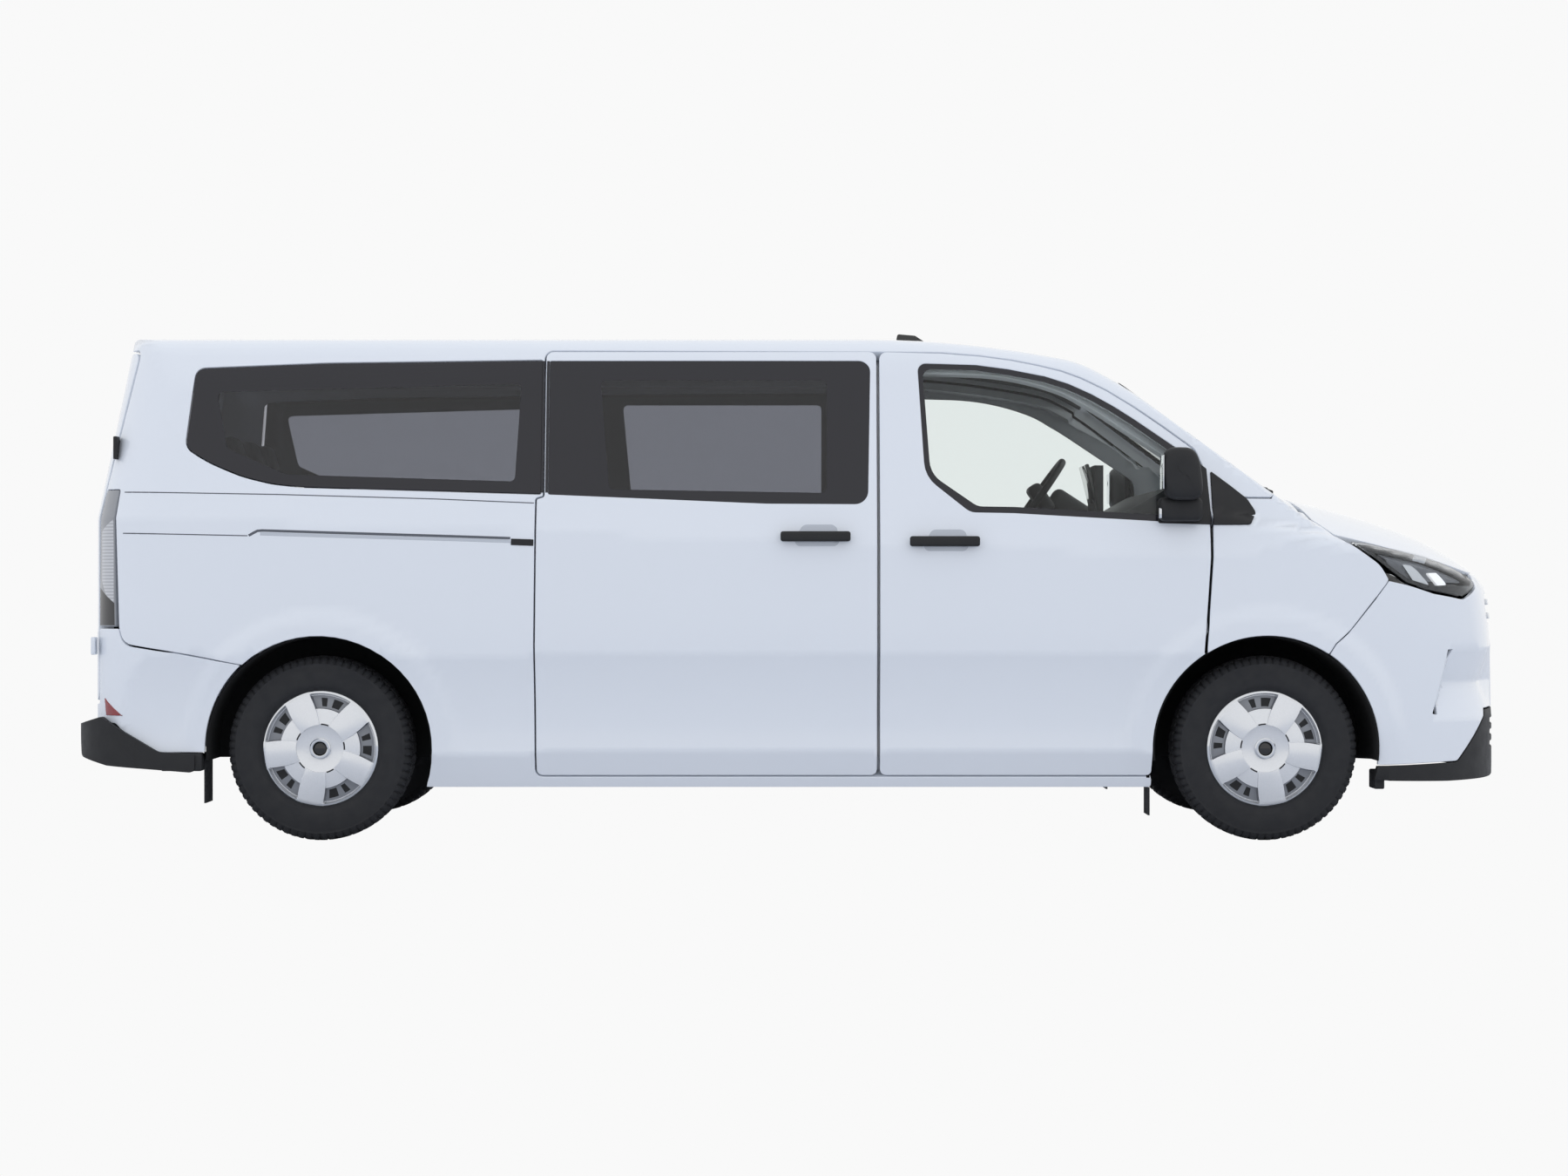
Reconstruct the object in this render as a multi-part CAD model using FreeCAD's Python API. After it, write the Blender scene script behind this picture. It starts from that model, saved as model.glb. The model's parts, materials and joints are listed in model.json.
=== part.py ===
import FreeCAD
import Part

import math
import os

from FreeCAD import Vector

# Long-wheelbase minibus. Millimetres, +X forward, +Y to the vehicle's left, Z = 0 on the ground.

# Overall sizes
NOSE_X = 2725.0
TAIL_X = -2725.0
BODY_REAR_X = -2662.0
HALF_WIDTH = 1016.0
ROOF_Z = 1903.0
SILL_Z = 198.0

# Wheels and axles
WHEELBASE = 3500.0
FRONT_AXLE_X = 1692.0
REAR_AXLE_X = FRONT_AXLE_X - WHEELBASE
TYRE_RADIUS = 343.0
TYRE_WIDTH = 215.0
RIM_RADIUS = 206.0
COVER_RADIUS = 221.0
RIM_WALL = 8.0
TYRE_FACE_Y = 957.0
WHEEL_Y = TYRE_FACE_Y - TYRE_WIDTH / 2
HUB_Z = TYRE_RADIUS
ARCH_RADIUS = 418.0
LINER_WALL = 6.0
FRONT_LINER_Y = 530.0
REAR_LINER_Y = 690.0
KINGPIN_Y = 800.0
STUB_RADIUS = 32.0
BORE_CLEARANCE = 0.08

# Walls and gaps
DOOR_THICKNESS = 60.0
WALL_THICKNESS = 100.0
ROOF_THICKNESS = 45.0
SKIN_THICKNESS = 25.0
GLASS_THICKNESS = 5.0
GLASS_RECESS = 2.0
DOOR_GAP = 6.0
SEAM_GAP = 3.0
SEAT_GAP = 0.3
FLANGE = 62.0
FRAME_LIP = 14.0

# Plan outline: nose arc, front corner arcs, long front taper, rear corner arcs
NOSE_ARC = 2000.0
NOSE_ARC_ANGLE = math.radians(16)
CORNER_ARC = 560.0
TAPER_ARC = 3500.0
REAR_CORNER = 250.0

# Side section: sill, lower crease and hollow of the doors, then the upright middle
SILL_HALF_WIDTH = 942.0
CREASE_HALF_WIDTH = 986.0
HOLLOW_HALF_WIDTH = 982.0
LOWER_CREASE_Z = 326.0
HOLLOW_Z = 470.0
UPRIGHT_Z = 700.0

# Upper sides lean in above a shoulder line that falls towards the front
SHOULDER_Z = 1108.0
SHOULDER_TILT = 2.1
TUMBLEHOME = 0.2
REAR_LEAN = 0.17

# Roof and windscreen
ROOF_CROWN = 9000.0
ROOF_FLAT_Y = 782.0
ROOF_EDGE_RADIUS = 105.0
ROOF_EDGE_ANGLE = math.radians(66)
ROOF_BEND_X = 200.0
ROOF_ARC = 4000.0
ROOF_ARC_ANGLE = math.radians(11)
HEADER_ARC = 450.0
HEADER_ANGLE = math.radians(28)
SCREEN_ANGLE = math.radians(36)
SCREEN_ARC = 6000.0
SCREEN_X = FRONT_AXLE_X - 199.0
SCREEN_Z = 1539.0
SCREEN_TOP = -374.0
SCREEN_BOTTOM = 370.0
SCREEN_TOP_HALF = 780.0
SCREEN_BOTTOM_HALF = 860.0
ROOF_SEAM_Y = 700.0

# Bonnet, flatter across at the windscreen than at the nose
BONNET_CROWN = 3200.0
BONNET_BEND_X = FRONT_AXLE_X + 268.0
BONNET_BEND_Z = 1269.0
BONNET_REAR_ANGLE = math.radians(13.5)
BONNET_ARC = 3400.0
BONNET_MID_ANGLE = math.radians(19)
NOSE_TOP_ARC = 1100.0
BONNET_NOSE_ANGLE = math.radians(46)
BONNET_REAR_X = FRONT_AXLE_X + 198.0
BONNET_REAR_HALF = 740.0
BONNET_INSET = 75.0
NOSE_LEAN = 0.145
NOSE_LEAN_Z = 620.0
NOSE_UNDERCUT = 0.277
NOSE_UNDERCUT_Z = 416.0

# Doors, measured from the axles
B_PILLAR_X = FRONT_AXLE_X - 1433.0
SLIDING_REAR_X = REAR_AXLE_X + 801.0
DOOR_TOP_Z = 1821.0
DOOR_BOTTOM_Z = 242.0
REAR_DOOR_BOTTOM_Z = 517.0
REAR_DOOR_HALF = 865.0
REAR_DOOR_TOP_HALF = 800.0
FRONT_HINGE_X = FRONT_AXLE_X - 222.0
FRONT_HINGE_Y = 1012.0
DOOR_EDGE = 15.0
DOOR_REBATE = 14.0
PILLAR_DOOR_THICKNESS = 26.0
REAR_HINGE_X = BODY_REAR_X + 3
REAR_HINGE_Y = 905.0
REAR_HINGE_Z = 728.0
REAR_HINGE_LEAN = 0.12
REAR_HINGE_CLEAR = 54.0
REAR_HEADER_SLOPE = 0.058

# Floor and front bulkhead
FLOOR_Z = 480.0
FLOOR_THICKNESS = 40.0
BULKHEAD_X = FRONT_AXLE_X - 212.0

# Grille, lamps and steps
GRILLE_HALF = 520.0
GRILLE_LOW_Z = 806.0
GRILLE_HIGH_Z = 912.0
BAR_COUNT = 2
BAR_HEIGHT = 30.0
BAR_STAND = 8.0
LAMP_DEPTH = 110.0
TAIL_LAMP_DEPTH = DOOR_THICKNESS - SEAT_GAP
RAIL_Y = 430.0
RAIL_WIDTH = 70.0
RAIL_HEIGHT = 110.0
JACK_PADS_X = (600.0, -1200.0)
JACK_PAD_RADIUS = 30.0
AXLE_RADIUS = 45.0

# Wheels' vents and brakes
VENT_COUNT = 5
VENT_CENTRE = 158.0
VENT_RADIUS = 22.0
BRAKE_RADIUS = 150.0

# Cabin
FRONT_SEAT_X = 480.0
FRONT_SEAT_Y = 430.0
REAR_SEAT_ROWS = (-700.0, -2020.0)
REAR_BENCH_HALF = 640.0
STEERING_X = 950.0
STEERING_Z = 1313.0
FLAP_OUTER_Y = 930.0
FLAP_INNER_Y = 770.0
STEERING_RADIUS = 185.0
STEERING_LEAN = 55.0

# Mirrors and aerial
MIRROR_X = FRONT_AXLE_X - 334.0
MIRROR_Z = 1315.0
MIRROR_DEPTH = 146.0
MIRROR_HEIGHT = 277.0
MIRROR_TIP_Y = 1137.0
ANTENNA_X = 420.0

FAR = 6000.0

PLAN = "plan"
SIDE = "side"
REAR = "rear"


def place(view, u, v, depth):
    """A point of a view: plan is X and Y, side is X and Z, rear is Y and Z."""
    if view == PLAN:
        return Vector(u, v, depth)
    if view == SIDE:
        return Vector(u, depth, v)
    return Vector(depth, u, v)


def ring(corners, view, depth):
    """A closed wire through corners (u, v, radius), each rounded by its radius."""
    rounded = []
    for index, (u, v, radius) in enumerate(corners):
        before = corners[index - 1]
        after = corners[(index + 1) % len(corners)]
        back = Vector(before[0] - u, before[1] - v, 0).normalize()
        ahead = Vector(after[0] - u, after[1] - v, 0).normalize()
        corner = Vector(u, v, 0)
        if radius == 0:
            rounded.append((corner, None, corner))
            continue
        half = back.getAngle(ahead) / 2
        reach = radius / math.tan(half)
        middle = corner + (back + ahead).normalize() * (radius / math.sin(half) - radius)
        rounded.append((corner + back * reach, middle, corner + ahead * reach))
    edges = []
    for index, (start, middle, end) in enumerate(rounded):
        following = rounded[(index + 1) % len(rounded)][0]
        a, b, c = (place(view, p.x, p.y, depth) for p in (start, end, following))
        if middle is not None:
            edges.append(Part.Arc(a, place(view, middle.x, middle.y, depth), b).toShape())
        if (following - end).Length > 0.01:
            edges.append(Part.LineSegment(b, c).toShape())
    return Part.Wire(edges)


def prism(corners, view, low, high, grow=0.0):
    """A solid from a rounded outline, grown or shrunk all round, between two depths."""
    face = Part.Face(ring(corners, view, low))
    if grow:
        face = face.makeOffset2D(grow)
    return face.extrude(place(view, 0, 0, high - low))


def box(x0, x1, y0, y1, z0, z1):
    return Part.makeBox(x1 - x0, y1 - y0, z1 - z0, Vector(x0, y0, z0))


def mirrored(shape):
    return shape.mirror(Vector(0, 0, 0), Vector(0, 1, 0))


def cylinder_y(x, z, radius, y0, y1):
    return Part.makeCylinder(radius, y1 - y0, Vector(x, y0, z), Vector(0, 1, 0))


def arc_edge(centre_x, centre_y, radius, start, end, z):
    points = []
    for angle in (start, (start + end) / 2, end):
        points.append(Vector(centre_x + radius * math.cos(angle), centre_y + radius * math.sin(angle), z))
    return Part.Arc(*points).toShape()


def line_edge(a, b):
    return Part.LineSegment(a, b).toShape()


def plan_outline(inset, z):
    """The body seen from above, moved in by the inset."""
    nose_x = NOSE_X - NOSE_ARC
    corner_x = nose_x + (NOSE_ARC - CORNER_ARC) * math.cos(NOSE_ARC_ANGLE)
    corner_y = (NOSE_ARC - CORNER_ARC) * math.sin(NOSE_ARC_ANGLE)
    taper_y = HALF_WIDTH - TAPER_ARC
    side_angle = math.asin((corner_y - taper_y) / (TAPER_ARC - CORNER_ARC))
    taper_x = corner_x - (TAPER_ARC - CORNER_ARC) * math.cos(side_angle)
    rear_x = BODY_REAR_X + REAR_CORNER
    rear_y = HALF_WIDTH - REAR_CORNER
    side_y = HALF_WIDTH - inset
    quarter = math.pi / 2
    edges = [
        line_edge(Vector(rear_x, -side_y, z), Vector(taper_x, -side_y, z)),
        arc_edge(taper_x, -taper_y, TAPER_ARC - inset, -quarter, -side_angle, z),
        arc_edge(corner_x, -corner_y, CORNER_ARC - inset, -side_angle, -NOSE_ARC_ANGLE, z),
        arc_edge(nose_x, 0, NOSE_ARC - inset, -NOSE_ARC_ANGLE, NOSE_ARC_ANGLE, z),
        arc_edge(corner_x, corner_y, CORNER_ARC - inset, NOSE_ARC_ANGLE, side_angle, z),
        arc_edge(taper_x, taper_y, TAPER_ARC - inset, side_angle, quarter, z),
        line_edge(Vector(taper_x, side_y, z), Vector(rear_x, side_y, z)),
        arc_edge(rear_x, rear_y, REAR_CORNER - inset, quarter, math.pi, z),
        line_edge(Vector(BODY_REAR_X + inset, rear_y, z), Vector(BODY_REAR_X + inset, -rear_y, z)),
        arc_edge(rear_x, -rear_y, REAR_CORNER - inset, math.pi, 3 * quarter, z),
    ]
    return Part.Wire(edges)


def plan_solid(inset, low, high):
    return Part.Face(plan_outline(inset, low)).extrude(Vector(0, 0, high - low))


def lower_section(inset):
    """The side section below the shoulder, run the length of the body."""
    def point(y, z):
        return Vector(-FAR / 2, y, z)
    wide = 3 * HALF_WIDTH
    low_z = SILL_Z
    bottom = SILL_HALF_WIDTH - inset
    if inset > 0:
        low_z = 0.0
        bottom = bottom - (SILL_Z - low_z) / 3
    edges = []
    for side in (-1, 1):
        a = point(side * bottom, low_z)
        b = point(side * (CREASE_HALF_WIDTH - inset), LOWER_CREASE_Z)
        c = point(side * (HOLLOW_HALF_WIDTH - inset), HOLLOW_Z)
        d = point(side * (HALF_WIDTH + 1 - inset), UPRIGHT_Z)
        e = point(side * wide, UPRIGHT_Z)
        f = point(side * wide, 2 * ROOF_Z)
        run = [line_edge(a, b), Part.Arc(b, c, d).toShape(), line_edge(d, e), line_edge(e, f)]
        edges.append((run, a, f))
    right, left = edges
    bottom_edge = line_edge(right[1], left[1])
    top_edge = line_edge(left[2], right[2])
    wire = Part.Wire(Part.__sortEdges__(right[0] + left[0] + [bottom_edge, top_edge]))
    return Part.Face(wire).extrude(Vector(FAR, 0, 0))


def leaning_side(inset):
    """The right side and rear above the shoulder, leaning in with height."""
    rear_x = BODY_REAR_X + REAR_CORNER
    rear_y = HALF_WIDTH - REAR_CORNER
    side_y = HALF_WIDTH - inset
    back_x = BODY_REAR_X + inset
    edges = [
        line_edge(Vector(FAR, -side_y, 0), Vector(rear_x, -side_y, 0)),
        arc_edge(rear_x, -rear_y, REAR_CORNER - inset, 1.5 * math.pi, math.pi, 0),
        line_edge(Vector(back_x, -rear_y, 0), Vector(back_x, FAR, 0)),
        line_edge(Vector(back_x, FAR, 0), Vector(FAR, FAR, 0)),
        line_edge(Vector(FAR, FAR, 0), Vector(FAR, -side_y, 0)),
    ]
    face = Part.Face(Part.Wire(edges))
    face.translate(Vector(0, 0, SHOULDER_Z))
    face.rotate(Vector(0, 0, SHOULDER_Z), Vector(0, 1, 0), SHOULDER_TILT)
    climb = Vector(REAR_LEAN, TUMBLEHOME, 1)
    face.translate(climb * -(SHOULDER_Z + FAR / 6))
    return face.extrude(climb * FAR)


def bent_spine(start, bends, lead, end_length, inset):
    """A path in the XZ plane: level or sloping, then arcs (radius, end angle), then straight on."""
    x, z, angle = start
    normal = Vector(math.sin(angle), 0, math.cos(angle))
    ahead = Vector(math.cos(angle), 0, -math.sin(angle))
    on_skin = Vector(x, 0, z)
    edges = [line_edge(on_skin - ahead * lead - normal * inset, on_skin - normal * inset)]
    for radius, end_angle in bends:
        centre = on_skin - normal * radius
        points = []
        for turn in (angle, (angle + end_angle) / 2, end_angle):
            points.append(centre + Vector(math.sin(turn), 0, math.cos(turn)) * (radius - inset))
        edges.append(Part.Arc(*points).toShape())
        angle = end_angle
        normal = Vector(math.sin(angle), 0, math.cos(angle))
        ahead = Vector(math.cos(angle), 0, -math.sin(angle))
        on_skin = centre + normal * radius
    last = on_skin - normal * inset
    edges.append(line_edge(last, last + ahead * end_length))
    return Part.Wire(edges)


def roof_skin(inset):
    spine = bent_spine((ROOF_BEND_X, ROOF_Z, 0), [(ROOF_ARC, ROOF_ARC_ANGLE), (HEADER_ARC, HEADER_ANGLE)],
                       FAR, 2500, inset)
    x = ROOF_BEND_X - FAR
    crown_z = ROOF_Z - ROOF_CROWN
    flat_angle = math.asin(ROOF_FLAT_Y / ROOF_CROWN)
    edge_y = (ROOF_CROWN - ROOF_EDGE_RADIUS) * math.sin(flat_angle)
    edge_z = crown_z + (ROOF_CROWN - ROOF_EDGE_RADIUS) * math.cos(flat_angle)

    def on_crown(angle):
        reach = ROOF_CROWN - inset
        return Vector(x, reach * math.sin(angle), crown_z + reach * math.cos(angle))

    def on_edge(angle, side):
        reach = ROOF_EDGE_RADIUS - inset
        return Vector(x, side * (edge_y + reach * math.sin(angle)), edge_z + reach * math.cos(angle))

    middle_angle = (flat_angle + ROOF_EDGE_ANGLE) / 2
    drop = 700.0
    edges = []
    for side in (-1, 1):
        low = on_edge(ROOF_EDGE_ANGLE, side)
        out = low + Vector(0, side * drop / math.tan(ROOF_EDGE_ANGLE), -drop)
        arc = Part.Arc(on_edge(flat_angle, side), on_edge(middle_angle, side), low).toShape()
        edges.append([arc, line_edge(low, out)])
    crown = Part.Arc(on_crown(-flat_angle), on_crown(0), on_crown(flat_angle)).toShape()
    profile = Part.Wire(Part.__sortEdges__(edges[0] + [crown] + edges[1]))
    return spine.makePipeShell([profile], False, False)


def bonnet_skin(inset):
    """An arc across the vehicle, swept from the windscreen's foot to beyond the nose."""
    start = (BONNET_BEND_X, BONNET_BEND_Z, BONNET_REAR_ANGLE)
    bends = [(BONNET_ARC, BONNET_MID_ANGLE), (NOSE_TOP_ARC, BONNET_NOSE_ANGLE)]
    spine = bent_spine(start, bends, 900, 600, inset)
    normal = Vector(math.sin(BONNET_REAR_ANGLE), 0, math.cos(BONNET_REAR_ANGLE))
    crown = BONNET_CROWN - inset
    centre = spine.Vertexes[0].Point - normal * crown
    half_angle = math.asin(1.2 * HALF_WIDTH / crown)
    points = []
    for turn in (-half_angle, 0, half_angle):
        points.append(centre + (Vector(0, math.sin(turn), 0) + normal * math.cos(turn)) * crown)
    profile = Part.Wire([Part.Arc(*points).toShape()])
    return spine.makePipeShell([profile], False, False)


def keep_below(solid, skin):
    """The part of a solid that lies under a skin which crosses it."""
    pieces = solid.generalFuse([skin])[0].Solids
    return min(pieces, key=lambda piece: piece.CenterOfMass.z)


def windscreen_drum(inset):
    """The drum whose front is the windscreen: its axis runs down the slope of the glass."""
    normal = Vector(math.sin(SCREEN_ANGLE), 0, math.cos(SCREEN_ANGLE))
    down = Vector(math.cos(SCREEN_ANGLE), 0, -math.sin(SCREEN_ANGLE))
    on_glass = Vector(SCREEN_X, 0, SCREEN_Z)
    base = on_glass - normal * SCREEN_ARC - down * 1.2 * FAR
    return Part.makeCylinder(SCREEN_ARC - inset, 2 * FAR, base, down)


def nose_drum(inset, lean, level):
    """A leaning drum that draws the nose back above or below a level."""
    along = Vector(lean, 0, 1)
    centre = Vector(NOSE_X - NOSE_ARC, 0, level)
    base = centre - along * FAR / 2
    return Part.makeCylinder(NOSE_ARC - inset, FAR, base, along)


def flanks(inset):
    """Everything but the top: plan outline, side section and leaning upper sides."""
    low = SILL_Z if inset <= 0 else 0.0
    sides = plan_solid(inset, low, 2 * ROOF_Z).common(lower_section(inset))
    leaning = leaning_side(inset)
    return sides.common(leaning).common(mirrored(leaning))


def cabin_solid(inset):
    return keep_below(flanks(inset), roof_skin(inset)).common(windscreen_drum(inset))


def front_solid(inset):
    clip = flanks(inset).common(box(FRONT_AXLE_X - 300, FAR, -FAR, FAR, 0, FAR))
    clip = keep_below(clip, bonnet_skin(inset))
    clip = clip.common(nose_drum(inset, -NOSE_LEAN, NOSE_LEAN_Z))
    return clip.common(nose_drum(inset, NOSE_UNDERCUT, NOSE_UNDERCUT_Z))


def arch_cut(axle_x, y0, y1, radius):
    """A wheel arch opening: round above the hub, straight below it."""
    arch = cylinder_y(axle_x, HUB_Z, radius, y0, y1)
    return arch.fuse(box(axle_x - radius, axle_x + radius, y0, y1, -50, HUB_Z))


def save(name, *solids):
    Part.makeCompound(list(solids)).exportStep("parts/" + name + ".step")


def both_sides(name, solid):
    save(name + "_right", solid)
    save(name + "_left", mirrored(solid))


def solids_of(shape, smallest=1000.0):
    return [solid for solid in shape.Solids if solid.Volume > smallest]


# Outlines, seen from the right side, as corners with their radii
def front_door_outline():
    return [
        (B_PILLAR_X + DOOR_GAP / 2, DOOR_BOTTOM_Z, 25),
        (B_PILLAR_X + DOOR_GAP / 2, DOOR_TOP_Z, 30),
        (FRONT_AXLE_X - 781, DOOR_TOP_Z, 1200),
        (FRONT_AXLE_X - 236, 1453, 55),
        (FRONT_AXLE_X - 204, 1200, 900),
        (FRONT_AXLE_X - 231, 650, 0),
        (FRONT_AXLE_X - 231, DOOR_BOTTOM_Z, 0),
    ]


def front_window_outline():
    return [
        (B_PILLAR_X + 146, DOOR_TOP_Z - 43, 30),
        (FRONT_AXLE_X - 782, DOOR_TOP_Z - 43, 900),
        (FRONT_AXLE_X - 312, 1453, 12),
        (FRONT_AXLE_X - 292, 1178, 12),
        (FRONT_AXLE_X - 932, 1214, 200),
        (B_PILLAR_X + 339, 1217, 60),
        (B_PILLAR_X + 172, 1350, 120),
    ]


def sliding_door_outline():
    return [
        (SLIDING_REAR_X, DOOR_BOTTOM_Z, 25),
        (SLIDING_REAR_X - 4, 729, 0),
        (SLIDING_REAR_X + 2, 1268, 10),
        (SLIDING_REAR_X + 30, 1276, 10),
        (SLIDING_REAR_X + 30, DOOR_TOP_Z, 30),
        (B_PILLAR_X - DOOR_GAP / 2, DOOR_TOP_Z, 30),
        (B_PILLAR_X - DOOR_GAP / 2, DOOR_BOTTOM_Z, 25),
    ]


def sliding_window_outline():
    return [
        (SLIDING_REAR_X + 45, 1283, 8),
        (SLIDING_REAR_X + 45, DOOR_TOP_Z - 36, 8),
        (B_PILLAR_X - 27, DOOR_TOP_Z - 36, 45),
        (B_PILLAR_X - 38, 1247, 50),
        (B_PILLAR_X - 414, 1249, 900),
    ]


def quarter_window_outline():
    return [
        (SLIDING_REAR_X + 20, 1286, 8),
        (SLIDING_REAR_X + 20, DOOR_TOP_Z - 36, 8),
        (REAR_AXLE_X + 21, 1776, 2000),
        (REAR_AXLE_X - 462, 1752, 30),
        (REAR_AXLE_X - 494, 1465, 60),
        (REAR_AXLE_X - 240, 1326, 120),
        (REAR_AXLE_X - 65, 1312, 400),
    ]


def body_outline():
    return [
        (-FAR / 2, 330, 0),
        (REAR_AXLE_X, 330, 0),
        (REAR_AXLE_X, SILL_Z - 5, 0),
        (BULKHEAD_X + 44, SILL_Z - 5, 0),
        (BULKHEAD_X + 44, 1176, 20),
        (FRONT_AXLE_X - 80, 1176, 20),
        (FRONT_AXLE_X - 30, 1222, 10),
        (FRONT_AXLE_X - 60, 1276, 5),
        (FRONT_AXLE_X + 34, 1280, 5),
        (FRONT_AXLE_X + 190, 1312, 0),
        (FRONT_AXLE_X + 190, 2 * ROOF_Z, 0),
        (-FAR / 2, 2 * ROOF_Z, 0),
    ]


def lamp_outline():
    return [
        (FRONT_AXLE_X + 305, 1114, 6),
        (FRONT_AXLE_X + 380, 1109, 300),
        (FRONT_AXLE_X + 600, 1074, 500),
        (FRONT_AXLE_X + 815, 974, 12),
        (FRONT_AXLE_X + 826, 945, 8),
        (FRONT_AXLE_X + 762, 902, 20),
        (FRONT_AXLE_X + 636, 923, 200),
        (FRONT_AXLE_X + 528, 955, 60),
        (FRONT_AXLE_X + 428, 1028, 400),
    ]


def bumper_outline():
    return [
        (FRONT_AXLE_X + 253, 727, 0),
        (FRONT_AXLE_X + 421, 917, 40),
        (FRONT_AXLE_X + 459, 968, 10),
        (FRONT_AXLE_X + 640, 1010, 0),
        (NOSE_X + 100, 1010, 0),
        (NOSE_X + 100, 150, 0),
        (FRONT_AXLE_X + 200, 150, 0),
        (FRONT_AXLE_X + 200, 668, 0),
    ]


def valance_outline():
    return [
        (FRONT_AXLE_X + 300, 281, 0),
        (FRONT_AXLE_X + 736, 290, 30),
        (FRONT_AXLE_X + 873, 481, 15),
        (NOSE_X + 100, 481, 0),
        (NOSE_X + 100, 224, 0),
        (FRONT_AXLE_X + 300, 221, 0),
    ]


def rear_bumper_outline():
    return [
        (-FAR / 2, 790, 0),
        (REAR_AXLE_X - 739, 790, 10),
        (REAR_AXLE_X - 488, 713, 60),
        (REAR_AXLE_X - 300, 640, 0),
        (REAR_AXLE_X - 300, 336, 0),
        (-FAR / 2, 336, 0),
    ]


def rear_door_outline():
    half_gap = DOOR_GAP / 2
    return [
        (half_gap, REAR_DOOR_BOTTOM_Z, 8),
        (half_gap, DOOR_TOP_Z, 8),
        (REAR_DOOR_TOP_HALF, DOOR_TOP_Z, 40),
        (REAR_DOOR_HALF, 1240, 300),
        (REAR_DOOR_HALF, REAR_DOOR_BOTTOM_Z, 40),
    ]


def rear_window_outline():
    return [
        (70, 1330, 50),
        (70, DOOR_TOP_Z - 70, 50),
        (REAR_DOOR_TOP_HALF - 70, DOOR_TOP_Z - 70, 60),
        (REAR_DOOR_HALF - 85, 1330, 70),
    ]


def flipped(corners):
    return [(-u, v, radius) for u, v, radius in corners]


def screen_prism(grow, depth_in, depth_out):
    corners = [
        (SCREEN_TOP, -SCREEN_TOP_HALF, 50),
        (SCREEN_BOTTOM, -SCREEN_BOTTOM_HALF, 60),
        (SCREEN_BOTTOM, SCREEN_BOTTOM_HALF, 60),
        (SCREEN_TOP, SCREEN_TOP_HALF, 50),
    ]
    solid = prism(corners, PLAN, -depth_in, depth_out, grow)
    solid.rotate(Vector(0, 0, 0), Vector(0, 1, 0), math.degrees(SCREEN_ANGLE))
    solid.translate(Vector(SCREEN_X, 0, SCREEN_Z))
    return solid


# Body solids that the panels are cut from
OUTER = cabin_solid(0)
GLASS_OUT = cabin_solid(GLASS_RECESS)
GLASS_IN = cabin_solid(GLASS_RECESS + GLASS_THICKNESS)
DOOR_IN = cabin_solid(DOOR_THICKNESS)
FRAME_IN = cabin_solid(DOOR_THICKNESS + DOOR_GAP)
ROOM = cabin_solid(WALL_THICKNESS)
FRONT = front_solid(0)
FRONT_IN = front_solid(SKIN_THICKNESS)
NOSE_IN = front_solid(DOOR_THICKNESS)

WALL = OUTER.cut(ROOM)
DOOR_SKIN = OUTER.cut(DOOR_IN)
GLASS_SKIN = GLASS_OUT.cut(GLASS_IN)
FRONT_SKIN = FRONT.cut(FRONT_IN)

OUT = -2 * HALF_WIDTH
WALL_INNER_Y = 745.0


def side_prism(corners, grow=0.0):
    """A side outline run through the right half of the body."""
    return prism(corners, SIDE, OUT, -WALL_INNER_Y, grow)


def window_cut(corners, view, low, high):
    """The opening in a panel for a pane: a rebate for the glass and a smaller hole."""
    seat = prism(corners, view, low, high).cut(GLASS_IN)
    return seat.fuse(prism(corners, view, low, high, -FRAME_LIP))


def side_window_cut(corners):
    return window_cut(corners, SIDE, OUT, -WALL_INNER_Y)


def front_door_swing():
    """The drum that a front door turns in: its rear edge follows it, to clear the pillar."""
    reach = FRONT_HINGE_X - B_PILLAR_X - DOOR_GAP / 2
    return Part.makeCylinder(reach, FAR, Vector(FRONT_HINGE_X, -FRONT_HINGE_Y, 0))


def door_rebate(inner):
    """What comes off a door behind its outer edge, so that it swings clear of its frame."""
    return cabin_solid(DOOR_EDGE).cut(inner)


def build_front_doors():
    door = DOOR_SKIN.common(side_prism(front_door_outline()))
    door = door.cut(door_rebate(side_prism(front_door_outline(), -DOOR_REBATE)))
    pillar = box(B_PILLAR_X + 850, FAR, OUT, 0, SHOULDER_Z + 250, FAR)
    door = door.cut(cabin_solid(PILLAR_DOOR_THICKNESS).common(pillar))
    door = door.cut(arch_cut(FRONT_AXLE_X, OUT, 0, ARCH_RADIUS + DOOR_GAP))
    door = door.cut(side_window_cut(front_window_outline()))
    both_sides("front_door", door.common(front_door_swing()))
    both_sides("front_door_glass", GLASS_SKIN.common(side_prism(front_window_outline())))


def build_sliding_door():
    door = DOOR_SKIN.common(side_prism(sliding_door_outline()))
    save("sliding_door_right", door.cut(side_window_cut(sliding_window_outline())))


def build_side_glass():
    sliding = GLASS_SKIN.common(side_prism(sliding_window_outline()))
    quarter = GLASS_SKIN.common(side_prism(quarter_window_outline()))
    save("side_glass", sliding, quarter, mirrored(sliding), mirrored(quarter))


def below_rear_header(gap):
    """Everything under a plane through the rear doors' top edge that falls towards the front."""
    slope = math.atan(REAR_HEADER_SLOPE)
    block = box(-FAR, FAR, -FAR, FAR, -FAR, gap)
    block.rotate(Vector(0, 0, 0), Vector(0, 1, 0), math.degrees(slope))
    block.translate(Vector(BODY_REAR_X + 105, 0, DOOR_TOP_Z))
    return block


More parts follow.
